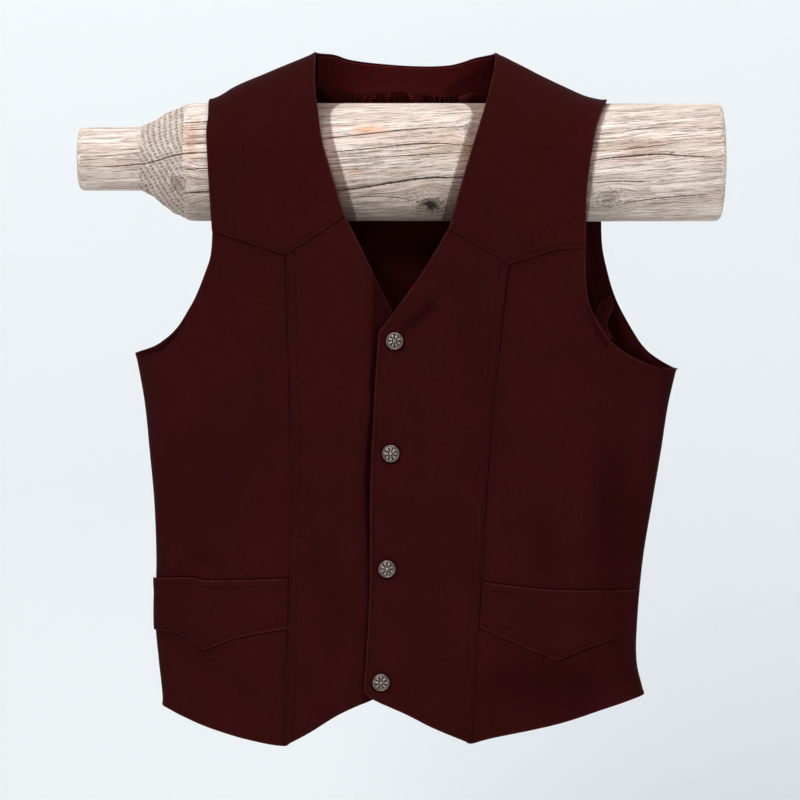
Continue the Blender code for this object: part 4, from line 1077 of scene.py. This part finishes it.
# Centre fronts. Leather panels from the princess seams to the front edges. Both lap over the
# side fronts with two rows of stitches, and the right one closes over the left one.
NECK_LEFT_LOW = [(-58, -56), (-50, -70), (-36, -98), (-12.5, -145.5), (4, -168)]
NECK_RIGHT_LOW = [(41.5, -68.5), (29, -89), (12, -116), (-6, -141), (-25, -166.5)]
FRONT_EDGE_RIGHT = [(-25, -166.5), (-28.5, -215), (-33, -310), (-34, -420), (-39.5, -510)]
HEM_LEFT_INNER = [(-115.5, -562), (-92, -549.5), (-62, -531), (-34, -519), (-8.5, -508)]
HEM_RIGHT_INNER = [(-39.5, -510), (-29, -518), (0, -531), (28, -545), (63, -559.5)]
OVERLAP_WIDTH = 31.0
UNDERLAP, UNDERLAP_START, UNDERLAP_RUN = 2.9, 16.0, 14.0
PRINCESS_RISE = {-1: 0.45, 1: 1.0}
PUCKER, PUCKER_LENGTH, PUCKER_REACH = 0.16, 8.0, 6.0
CLEAR_REACH, CLEAR_RUN = 2.0, 16.0
CLOSING_SHADE = [
    # up, reach beside the front edge, depth
    (-150, 7.5, 0.6), (-168, 7.5, 0.85), (-190, 6.5, 1.0), (-215, 7.0, 1.0), (-235, 5.0, 0.9),
    (-260, 6.5, 1.0), (-300, 7.5, 1.0), (-325, 7.0, 0.95), (-370, 5.0, 0.8), (-420, 4.0, 0.65),
    (-520, 3.5, 0.6),
]
SHADE_EDGE = 2.4
SNAP_SHADOW_DEPTH, SNAP_SHADOW_REACH, SNAP_SHADOW_RUN = 0.85, 8.0, 3.4
SNAPS = [(-10.1, -175), (-13.7, -282), (-17.3, -392), (-23, -500.5)]
SNAP_DIMPLE, SNAP_RING, SNAP_SPREAD = 0.6, 10.5, 3.2
EDGE_SPRING, SPRING_REACH, SPRING_RUN = 0.5, 4.0, 16.0

centre_columns, neck_rows = 62, 56
centre_rows = neck_rows + 130
hidden_edge = [(x + OVERLAP_WIDTH, z) for x, z in FRONT_EDGE_RIGHT[1:-1]]
hidden_edge = [NECK_LEFT_LOW[-1]] + hidden_edge + [HEM_LEFT_INNER[-1]]
front_edge = joined(
    -1, ([(44.0, -62.5)] + NECK_RIGHT_LOW[1:], neck_rows),
    (FRONT_EDGE_RIGHT, centre_rows - neck_rows),
)
centre_edges = {
    -1: (
        joined(-1, (raised(YOKE_SEAM_LEFT_INNER, 0.0, -2.8), centre_columns)),
        joined(-1, (HEM_LEFT_INNER, centre_columns)),
        joined(-1, ([(-114.0, -87.5)] + PRINCESS_LEFT[1:], centre_rows)),
        joined(-1, ([(-60.8, -50.0)] + NECK_LEFT_LOW[1:], neck_rows),
               (hidden_edge, centre_rows - neck_rows)),
    ),
    1: (
        joined(-1, (raised(YOKE_SEAM_RIGHT_INNER, 2.5), centre_columns)),
        joined(-1, (HEM_RIGHT_INNER, centre_columns)),
        front_edge,
        joined(-1, ([(99.6, -96.0)] + PRINCESS_RIGHT[1:], centre_rows)),
    ),
}
front_line = on_form(-1, front_edge)


def past_front_edge(points):
    """How far to the right of the upper front's edge points lie."""
    edge = np.interp(-points[..., 2], *np.array([(-z, x) for x, z in FRONT_EDGE_RIGHT]).T)
    return points[..., 0] - edge


def underlap_lift(points):
    """The left front sinks under the right front where they overlap."""
    return -UNDERLAP * smooth_step((past_front_edge(points) + UNDERLAP_START) / UNDERLAP_RUN)


def closing_shade(points):
    """Painted shadow in the gap beside the upper front's edge."""
    reach = table_curve(CLOSING_SHADE, points[..., 2], 1)
    depth = table_curve(CLOSING_SHADE, points[..., 2], 2)
    return depth * smooth_step((past_front_edge(points) + reach) / SHADE_EDGE)


def painted_snap_shadow(points):
    """Painted shadow: darker leather round each snap."""
    away = np.min([snap_distance(points, snap) for snap in SNAPS], axis=0)
    return SNAP_SHADOW_DEPTH * smooth_step(1 - (away - SNAP_SHADOW_REACH) / SNAP_SHADOW_RUN)


def snap_distance(points, snap):
    return np.hypot(points[..., 0] - snap[0], points[..., 2] - snap[1])


def closing_lift(points):
    """The right front springs up a little at its edge and is pressed in round each snap."""
    total = lap(points, front_line, EDGE_SPRING, SPRING_REACH, SPRING_RUN)
    for snap in SNAPS:
        ring = (snap_distance(points, snap) - SNAP_RING) / SNAP_SPREAD
        total = total - SNAP_DIMPLE * np.exp(-(ring ** 2))
    return total


centre_lifts = {}
for hand, side_name, own_lift in ((-1, "left", underlap_lift), (1, "right", closing_lift)):
    top, bottom, left, right = centre_edges[hand]
    opening, princess = (right, left) if hand < 0 else (left, right)
    open_lines = [on_form(-1, opening), on_form(-1, bottom)]
    seam_line, yoke_seam = princess_points[hand], yoke_seam_points[hand]

    def centre_lift(points, hand=hand, seam_line=seam_line, yoke_seam=yoke_seam,
                    open_lines=open_lines, own_lift=own_lift):
        clear_of_yoke = smooth_step((line_distance(points, yoke_seam) - CLEAR_REACH) / CLEAR_RUN)
        lapped = lap(points, seam_line, PRINCESS_RISE[hand], LAP_REACH, LAP_RUN) * clear_of_yoke
        under_yoke = lap(points, yoke_seam, LAP_SINK, SINK_REACH, SINK_RUN)
        puckers = waves(points, PUCKER_LENGTH, PUCKER, 21)
        puckers = puckers * lap(points, seam_line, 1.0, PUCKER_REACH, PUCKER_REACH)
        return rolled(points, open_lines) + lapped + puckers - under_yoke + own_lift(points)

    centre_lifts[hand] = centre_lift
    name = f"{side_name}_centre_front"
    rows = [(princess, -hand * NEAR_ROW, 8, 3), (princess, -hand * SECOND_ROW, 8, 3)]
    front_row = (opening[neck_rows:], hand * EDGE_ROW, 2, 4)
    vee_row = (opening[neck_rows - 14:neck_rows], hand * EDGE_ROW, 0, 0)
    grooved = rows + [front_row, vee_row] if hand > 0 else rows
    under = [yoke_seam, front_line[neck_rows - 3:]] if hand < 0 else [yoke_seam]
    places = fill_edges(top, bottom, left, right)
    mesh = cloth_grid(
        name, -1, places, centre_lift, open_lines, [seam_line], under=under, rows=grooved,
        painted_shade=closing_shade if hand < 0 else painted_snap_shadow)
    centre_front = cloth_piece(name, f"centre_front_{side_name}", mesh, LEATHER, leather, satin)
    rows += [(bottom, EDGE_ROW, 3, 3)] + ([front_row, vee_row] if hand > 0 else [])
    sewing = stitches(f"{name}_stitches", -1, rows, centre_lift)


# Pocket bands. Pointed strips of leather laid on the side fronts, their ends caught in the
# side and princess seams. They are sewn down along the point and stand proud at the top.
BAND_LEATHER = 1.5
BAND_LIFT = BAND_LEATHER + 0.35
BAND_MOUTH, MOUTH_REACH, MOUTH_RUN = 1.0, 1.0, 16.0
BAND_ROW = 7.0
BAND_INSETS = {-1: 0.0, 1: 3.2}

for hand, side_name in ((-1, "left"), (1, "right")):
    top_line, low_start, low_end = BANDS[hand]
    top = joined(-1, (top_line, 76))
    bottom = joined(-1, (low_start, 38), (low_end, 38))
    ends = (top_line[0][1], low_start[0][1]) if hand < 0 else (top_line[-1][1], low_end[-1][1])
    outer = joined(-1, (side_line(hand, *ends, inset=BAND_INSETS[hand]), 28))
    inner_points = (top_line[-1], low_end[-1]) if hand < 0 else (top_line[0], low_start[0])
    inner = joined(-1, (smooth_line(inner_points), 28))
    left, right = (outer, inner) if hand < 0 else (inner, outer)
    mouth = on_form(-1, top)
    open_lines = [mouth, on_form(-1, bottom)]

    def band_lift(points, mouth=mouth, under=side_lifts[hand]):
        return BAND_LIFT + under(points) + lap(points, mouth, BAND_MOUTH, MOUTH_REACH, MOUTH_RUN)

    name = f"{side_name}_pocket_band"
    rows = [(top, -BAND_ROW, 3, 3), (bottom, LAP_ROW, 3, 3)]
    places = fill_edges(top, bottom, left, right)
    mesh = cloth_grid(name, -1, places, band_lift, open_lines, rows=rows)
    band = cloth_piece(name, f"pocket_band_{side_name}", mesh, BAND_LEATHER, leather)
    sewing = stitches(f"{name}_stitches", -1, rows, band_lift)


# Back. One piece of leather from the shoulders to a straight hem, seamed to the fronts down
# the sides. Its neck, armholes and hem are turned and stitched.
HEM_BACK = [(-235.5, -526.5), (-120, -525.5), (0, -524), (120, -521), (232.5, -515.5)]
BACK_ARMHOLE_LEFT_HIGH = [(-190, 30), (-189, -10)]
BACK_ARMHOLE_LEFT_LOW = [
    (-189, -10), (-185.5, -70), (-189.5, -107), (-199, -134), (-213.5, -153), (-226.5, -169),
    (-242.5, -180.5), (-261.5, UNDERARM_LEFT),
]
BACK_ARMHOLE_RIGHT_HIGH = [(197.5, 30), (196.5, -10)]
BACK_ARMHOLE_RIGHT_LOW = [
    (196.5, -10), (195.5, -70), (201, -104), (210, -134), (226, -165), (237, -181), (249, -191),
    (263.4, UNDERARM_RIGHT),
]
BACK_NECK = [
    (-70, 107.3), (-54, 103.5), (-30, 101), (12, 98.7), (39, 98.7), (54, 100.8), (70, 104.8),
]

neck_line = smooth_line(
    [(SHOULDER_LEFT[1], 106.8)] + BACK_NECK + [(SHOULDER_RIGHT[0], 106.3)])
BACK_SHOULDER_COLUMNS, BACK_NECK_COLUMNS = 36, 60
BACK_HIGH_ROWS, BACK_ARM_ROWS, BACK_BODY_ROWS = 44, 50, 100
back_top = joined(
    1, (shoulder_line(*SHOULDER_LEFT), BACK_SHOULDER_COLUMNS), (neck_line, BACK_NECK_COLUMNS),
    (shoulder_line(*SHOULDER_RIGHT), BACK_SHOULDER_COLUMNS))
back_bottom = joined(1, (HEM_BACK, 2 * BACK_SHOULDER_COLUMNS + BACK_NECK_COLUMNS))
back_left = joined(
    1, (from_crest(SHOULDER_LEFT[0], BACK_ARMHOLE_LEFT_HIGH), BACK_HIGH_ROWS),
    (BACK_ARMHOLE_LEFT_LOW, BACK_ARM_ROWS),
    (side_line(-1, UNDERARM_LEFT, HEM_BACK[0][1]), BACK_BODY_ROWS))
back_right = joined(
    1, (from_crest(SHOULDER_RIGHT[1], BACK_ARMHOLE_RIGHT_HIGH), BACK_HIGH_ROWS),
    (BACK_ARMHOLE_RIGHT_LOW, BACK_ARM_ROWS),
    (side_line(1, UNDERARM_RIGHT, HEM_BACK[-1][1]), BACK_BODY_ROWS))
back_neck = back_top[BACK_SHOULDER_COLUMNS:BACK_SHOULDER_COLUMNS + BACK_NECK_COLUMNS + 1]
arm_left, arm_right = (edge[:BACK_HIGH_ROWS + BACK_ARM_ROWS + 1] for edge in (back_left, back_right))
back_opens = [on_form(1, line) for line in (back_neck, back_bottom, arm_left, arm_right)]


def back_lift(points):
    return rolled(points, back_opens)


places = fill_edges(back_top, back_bottom, back_left, back_right)
mesh = cloth_grid("leather_back", 1, places, back_lift, back_opens)
back = cloth_piece("leather_back", "back", mesh, LEATHER, leather, satin)
sewing = stitches("leather_back_stitches", 1, [
    (back_neck, EDGE_ROW, 3, 3), (back_bottom, -EDGE_ROW, 3, 3),
    (arm_left, -EDGE_ROW, 6, 3), (arm_right, EDGE_ROW, 6, 3),
], back_lift)


# Neck facing. A curved strip of leather inside the back's neck edge, turned over the top of
# the neck, with its lower edge sewn over the lining's gathers.
FACING_LOWER = [(-87, 84), (-67, 78), (-47, 72), (-5, 75), (38, 70), (67, 74.5), (87.5, 80)]
FACING_LEATHER = 1.2
FACING_SET = LEATHER + 0.35
FACING_TOP_DROP = 0.5
FACING_ROLL, FACING_REACH, FACING_RUN = 1.0, 2.0, 7.0
SHADED_FROM, SHADED_TO, SHADED_DEPTH = (36.0, 80.8), (86.0, 106.4), 0.50
SHADED_EDGE, SHADED_START = 7.0, 8.0
# Painted light: the facing is the same leather, given lighter colours than the rest so that it looks as
# brightly lit.
FACING_LIGHTENED_HIDE = (0.062, 0.0072, 0.0085, 1)
FACING_LIGHTENED_BROWN = (0.056, 0.0078, 0.0062, 1)

lowered = neck_line - (0, FACING_TOP_DROP)
facing_top = joined(1, (lowered, 96))
facing_bottom = joined(1, (FACING_LOWER, 96))
facing_left = joined(1, (smooth_line([lowered[0], FACING_LOWER[0]]), 18))
facing_right = joined(1, (smooth_line([lowered[-1], FACING_LOWER[-1]]), 18))
facing_lines = [on_form(1, facing_top), on_form(1, facing_bottom)]


def facing_shade(points):
    """Painted shade: the darker corner under a line that runs up to the right shoulder."""
    seen = points[..., [0, 2]] - SHADED_FROM
    along, rise = np.array(SHADED_TO) - SHADED_FROM
    below = (seen[..., 0] * rise - seen[..., 1] * along) / math.hypot(along, rise)
    return SHADED_DEPTH * smooth_step(below / SHADED_EDGE) * smooth_step(seen[..., 0] / SHADED_START)


def facing_lift(points):
    return -FACING_SET - lap(points, facing_lines[1], FACING_ROLL, FACING_REACH, FACING_RUN)


places = fill_edges(facing_top, facing_bottom, facing_left, facing_right)
mesh = cloth_grid("neck_facing", 1, places, facing_lift, facing_lines, painted_shade=facing_shade)
lightened_facing_leather = leather_material("lightened_facing_leather", FACING_LIGHTENED_HIDE, FACING_LIGHTENED_BROWN)
facing = cloth_piece("neck_facing", "back_neck_facing", mesh, FACING_LEATHER, lightened_facing_leather)


# Back lining. Thin maroon satin inside the back, drawn up in small uneven gathers where it is
# sewn to the neck facing, and hanging free below the log.
GATHERS = [
    # across of the crest, half width, height, lean
    (-75, 7.0, 2.6, 0.9), (-61, 4.5, 1.6, 0.7), (-49, 1.7, 3.4, -0.1), (-43.5, 1.4, 3.0, -0.5),
    (-37, 1.8, 3.6, -0.6), (-28, 2.0, 3.8, -0.7), (-20.5, 1.4, 2.2, -0.6), (-14, 1.6, 3.6, -0.5),
    (-8, 1.2, 1.6, -0.3), (25.5, 1.5, 3.2, 0.8), (31, 1.3, 2.8, 0.8), (36.5, 1.5, 3.0, 0.7),
    (42, 1.3, 1.6, 0.4), (49.5, 1.6, 3.4, 0.1), (66, 8.0, 3.0, -0.9), (80, 3.0, 1.8, -0.4),
]
GATHER_HEIGHT, GATHER_WIDEN, GATHER_TOP = 1.4, 1.2, 72.0
GATHER_FOOT, GATHER_RUN = 5.0, 50.0
TUCK = (11.0, 9.0, 5.2, 0.25)
LINING = 0.8
LINING_SET = LEATHER + 1.5
SEAM_DEPTH, SEAM_REACH, SEAM_RUN = 1.4, 1.0, 4.5
LINING_SHOULDER_LEFT = [(-168, 22), (-135, 42), (-106, 66)]
LINING_SHOULDER_RIGHT = [(106, 64), (138, 40), (172, 22)]
LINING_INSET = (13.0, 14.0)
LINING_HEM = -500.0
LINING_SIDE_INSET = 16.0


def lining_lift(points):
    """Gathers that lean a little and fade as they hang."""
    fade = smooth_step((points[..., 2] - GATHER_FOOT) / GATHER_RUN)
    total = np.zeros(points.shape[:-1])
    for across, breadth, height, lean in GATHERS:
        crest = across + lean * (GATHER_TOP - points[..., 2])
        widen = 1 + GATHER_WIDEN * (1 - fade)
        total += GATHER_HEIGHT * height * np.exp(-(((points[..., 0] - crest) / (breadth * widen)) ** 2))
    across, breadth, height, lean = TUCK
    crest = across + lean * (GATHER_TOP - points[..., 2])
    total += height * np.exp(-(((points[..., 0] - crest) / breadth) ** 6))
    below_seam = smooth_step((line_distance(points, facing_lines[1]) - SEAM_REACH) / SEAM_RUN)
    return -LINING_SET + SEAM_DEPTH * (1 - below_seam) - total * fade * (0.1 + 0.9 * below_seam)


def lining_side(hand, shoulder, armhole, underarm):
    """Side edge of the lining: inside the armhole, then inside the side seam."""
    inset, drop = LINING_INSET
    moved = [(x - hand * inset, z - drop) for x, z in armhole[:-1]]
    side = side_line(hand, underarm - drop, LINING_HEM, LINING_SIDE_INSET)
    return joined(1, (smooth_line([shoulder, moved[0]]), 14),
                  (smooth_line(moved + [tuple(side[0])]), 30), (side, 40))


gather_line = smooth_line(FACING_LOWER) + (0, 1.5)
lining_left = lining_side(-1, LINING_SHOULDER_LEFT[0], BACK_ARMHOLE_LEFT_LOW, UNDERARM_LEFT)
lining_right = lining_side(1, LINING_SHOULDER_RIGHT[-1], BACK_ARMHOLE_RIGHT_LOW, UNDERARM_RIGHT)
low_left, low_right = (on_form(1, edge)[-1][[0, 2]] for edge in (lining_left, lining_right))
lining_top = joined(
    1, (smooth_line(LINING_SHOULDER_LEFT + [tuple(gather_line[0])]), 14), (gather_line, 210),
    (smooth_line([tuple(gather_line[-1])] + LINING_SHOULDER_RIGHT), 14))
lining_bottom = joined(1, (smooth_line([low_left, (0, LINING_HEM), low_right]), 238))
places = fill_edges(lining_top, lining_bottom, lining_left, lining_right)
mesh = cloth_grid("satin_back_lining", 1, places, lining_lift)
lining = cloth_piece(
    "satin_back_lining", "back_lining", mesh, LINING, satin, slot="lining", round_off=0.25)


# Armhole ribbon. A strip of leather that crosses the inside of the right armhole, with a
# little twist, and catches the light in front of the dark lining.
RIBBON = [
    # centre across, depth, up, half width across, half width depth, half width up
    (196, -46, -174, 2.6, 0.6, 1.8), (192, -38, -167, 3.6, 0.8, 1.4), (190, -24, -158, 5.0, 1.2, 0.6),
    (191.5, -8, -149, 6.8, 1.4, -0.4), (195.5, 8, -141, 7.4, 1.8, -1.4), (200, 24, -134.5, 5.0, 2.2, -2.4),
    (204.5, 40.5, -131, 1.5, 2.0, -3.0),
]
RIBBON_LEATHER = 1.1

ribbon_rows = smooth_line(RIBBON, samples=10)
ribbon_columns = np.linspace(-1, 1, 9)
ribbon_points = ribbon_rows[:, None, :3] + ribbon_rows[:, None, 3:] * ribbon_columns[None, :, None]
sheet = bmesh.new()
bmesh.ops.create_grid(sheet, x_segments=8, y_segments=len(ribbon_rows) - 1, size=1)
picks = [
    (round((1 - vert.co.y) / 2 * (len(ribbon_rows) - 1)), round((vert.co.x + 1) * 4))
    for vert in sheet.verts
]
mesh = bpy.data.meshes.new("armhole_ribbon")
sheet.to_mesh(mesh)
sheet.free()
write_points(mesh, np.array([ribbon_points[row, column] for row, column in picks]))
write_values(mesh, "edge_mm", [6.0 * (1 - abs(column - 4) / 4) for row, column in picks])
for label in ("lap_mm", "under_mm", "row_mm"):
    write_values(mesh, label, np.full(len(mesh.vertices), FAR))
ribbon_leather = leather_material("ribbon_leather", HIDE, BROWN_HIDE, gleam=0.0)
ribbon = cloth_piece(
    "armhole_ribbon", "armhole_facing_right", mesh, RIBBON_LEATHER, ribbon_leather, round_off=0.3, offset=0)


# Snap caps. Domed caps of antique silver over the four press studs that close the front, each
# struck with a plain rosette inside a beaded rim, standing on a ring of painted shadow on the leather.
CAP_PROFILE = [
    # radius, height
    (0.0, 3.55), (0.8, 3.5), (1.6, 3.42), (2.4, 3.3), (3.2, 3.12), (4.0, 2.95), (4.8, 2.75),
    (5.6, 2.5), (6.2, 2.25), (6.7, 2.0), (7.1, 1.95), (7.5, 2.1), (7.9, 2.0), (8.2, 1.65),
    (8.35, 1.1), (8.2, 0.5), (7.8, 0.15), (7.0, 0.05),
]
PETALS = 8
BEADS = 36
CAP_TURNS = 144
SNAP_GAP = 0.3
HEART, PETAL_END, MOAT, BEAD_RING = 1.7, 6.3, 6.7, 7.45
RELIEF_FROM = 1.5
PETAL_HEIGHT, PETAL_SINK, GROOVE_DEPTH, BEAD_HEIGHT = 1.0, 0.75, 0.45, 0.45

silver, shader = new_material("antique_silver", Metallic=1.0)
place = place_in_mm(shader)
tarnish = noise(place, (0.5, 0.5, 0.5), 4.0, 0.65)
scratch = noise(place, (2.2, 2.2, 2.2))
hollow = stored(shader, "hollow")
colour = mix_colours(ramp(tarnish, 0.35, 0.7), (0.17, 0.13, 0.115, 1), (0.42, 0.35, 0.32, 1))
feed(shader.inputs, {
    "Base Color": mix_colours(hollow, colour, (0.022, 0.014, 0.012, 1)),
    "Roughness": ramp(scratch, 0.3, 0.7, 0.28, 0.44) + hollow * 0.3, "Normal": bump(scratch * 0.05, 0.6),
})

for number, (across, up) in enumerate(SNAPS, start=1):
    place = form_places([(across, up)])
    seat = cloth_points(-1, place, centre_lifts[1])[0]
    normal = form_slopes(-1, place)[2][0]
    cap = bmesh.new()
    rim = [cap.verts.new((radius * MM, 0, height * MM)) for radius, height in CAP_PROFILE]
    spine = [cap.edges.new(pair) for pair in zip(rim, rim[1:])]
    bmesh.ops.subdivide_edges(cap, edges=spine, cuts=2)
    bmesh.ops.spin(
        cap, geom=cap.verts[:] + cap.edges[:], cent=(0, 0, 0), axis=(0, 0, 1), angle=math.tau,
        steps=CAP_TURNS, use_merge=True, use_duplicate=False,
    )
    bmesh.ops.remove_doubles(cap, verts=cap.verts, dist=1e-7)
    bmesh.ops.holes_fill(cap, edges=[edge for edge in cap.edges if edge.is_boundary])
    bmesh.ops.recalc_face_normals(cap, faces=cap.faces)
    mesh = bpy.data.meshes.new(f"snap_cap_{number}")
    cap.to_mesh(mesh)
    cap.free()
    points = read_points(mesh)
    radius = np.hypot(points[:, 0], points[:, 1])
    turn = np.arctan2(points[:, 1], points[:, 0]) + 0.4 * number
    on_top = points[:, 2] > RELIEF_FROM
    petals = np.abs(np.cos(turn * PETALS / 2)) ** 0.7
    within = smooth_step((radius - HEART) / 0.5) * smooth_step((PETAL_END - radius) / 0.6)
    beads = np.abs(np.sin(turn * BEADS / 2)) * np.exp(-(((radius - BEAD_RING) / 0.35) ** 2))
    core_groove = np.exp(-(((radius - HEART - 0.1) / 0.3) ** 2))
    relief = within * (PETAL_HEIGHT * petals - PETAL_SINK)
    relief += BEAD_HEIGHT * beads - GROOVE_DEPTH * core_groove
    points[:, 2] += np.where(on_top, relief, 0)
    moat = np.exp(-(((radius - MOAT) / 0.35) ** 2))
    dark = np.clip(within * (0.95 - petals) * 1.9 + core_groove + moat, 0, 1) * on_top
    write_values(mesh, "hollow", dark)
    turn_to = np.array(Vector(normal).to_track_quat("Z", "Y").to_matrix())
    write_points(mesh, points @ turn_to.T + seat + normal * SNAP_GAP)
    piece = show(f"snap_cap_{number}", mesh, "metal", silver)
    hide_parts(f"snap_{number}")
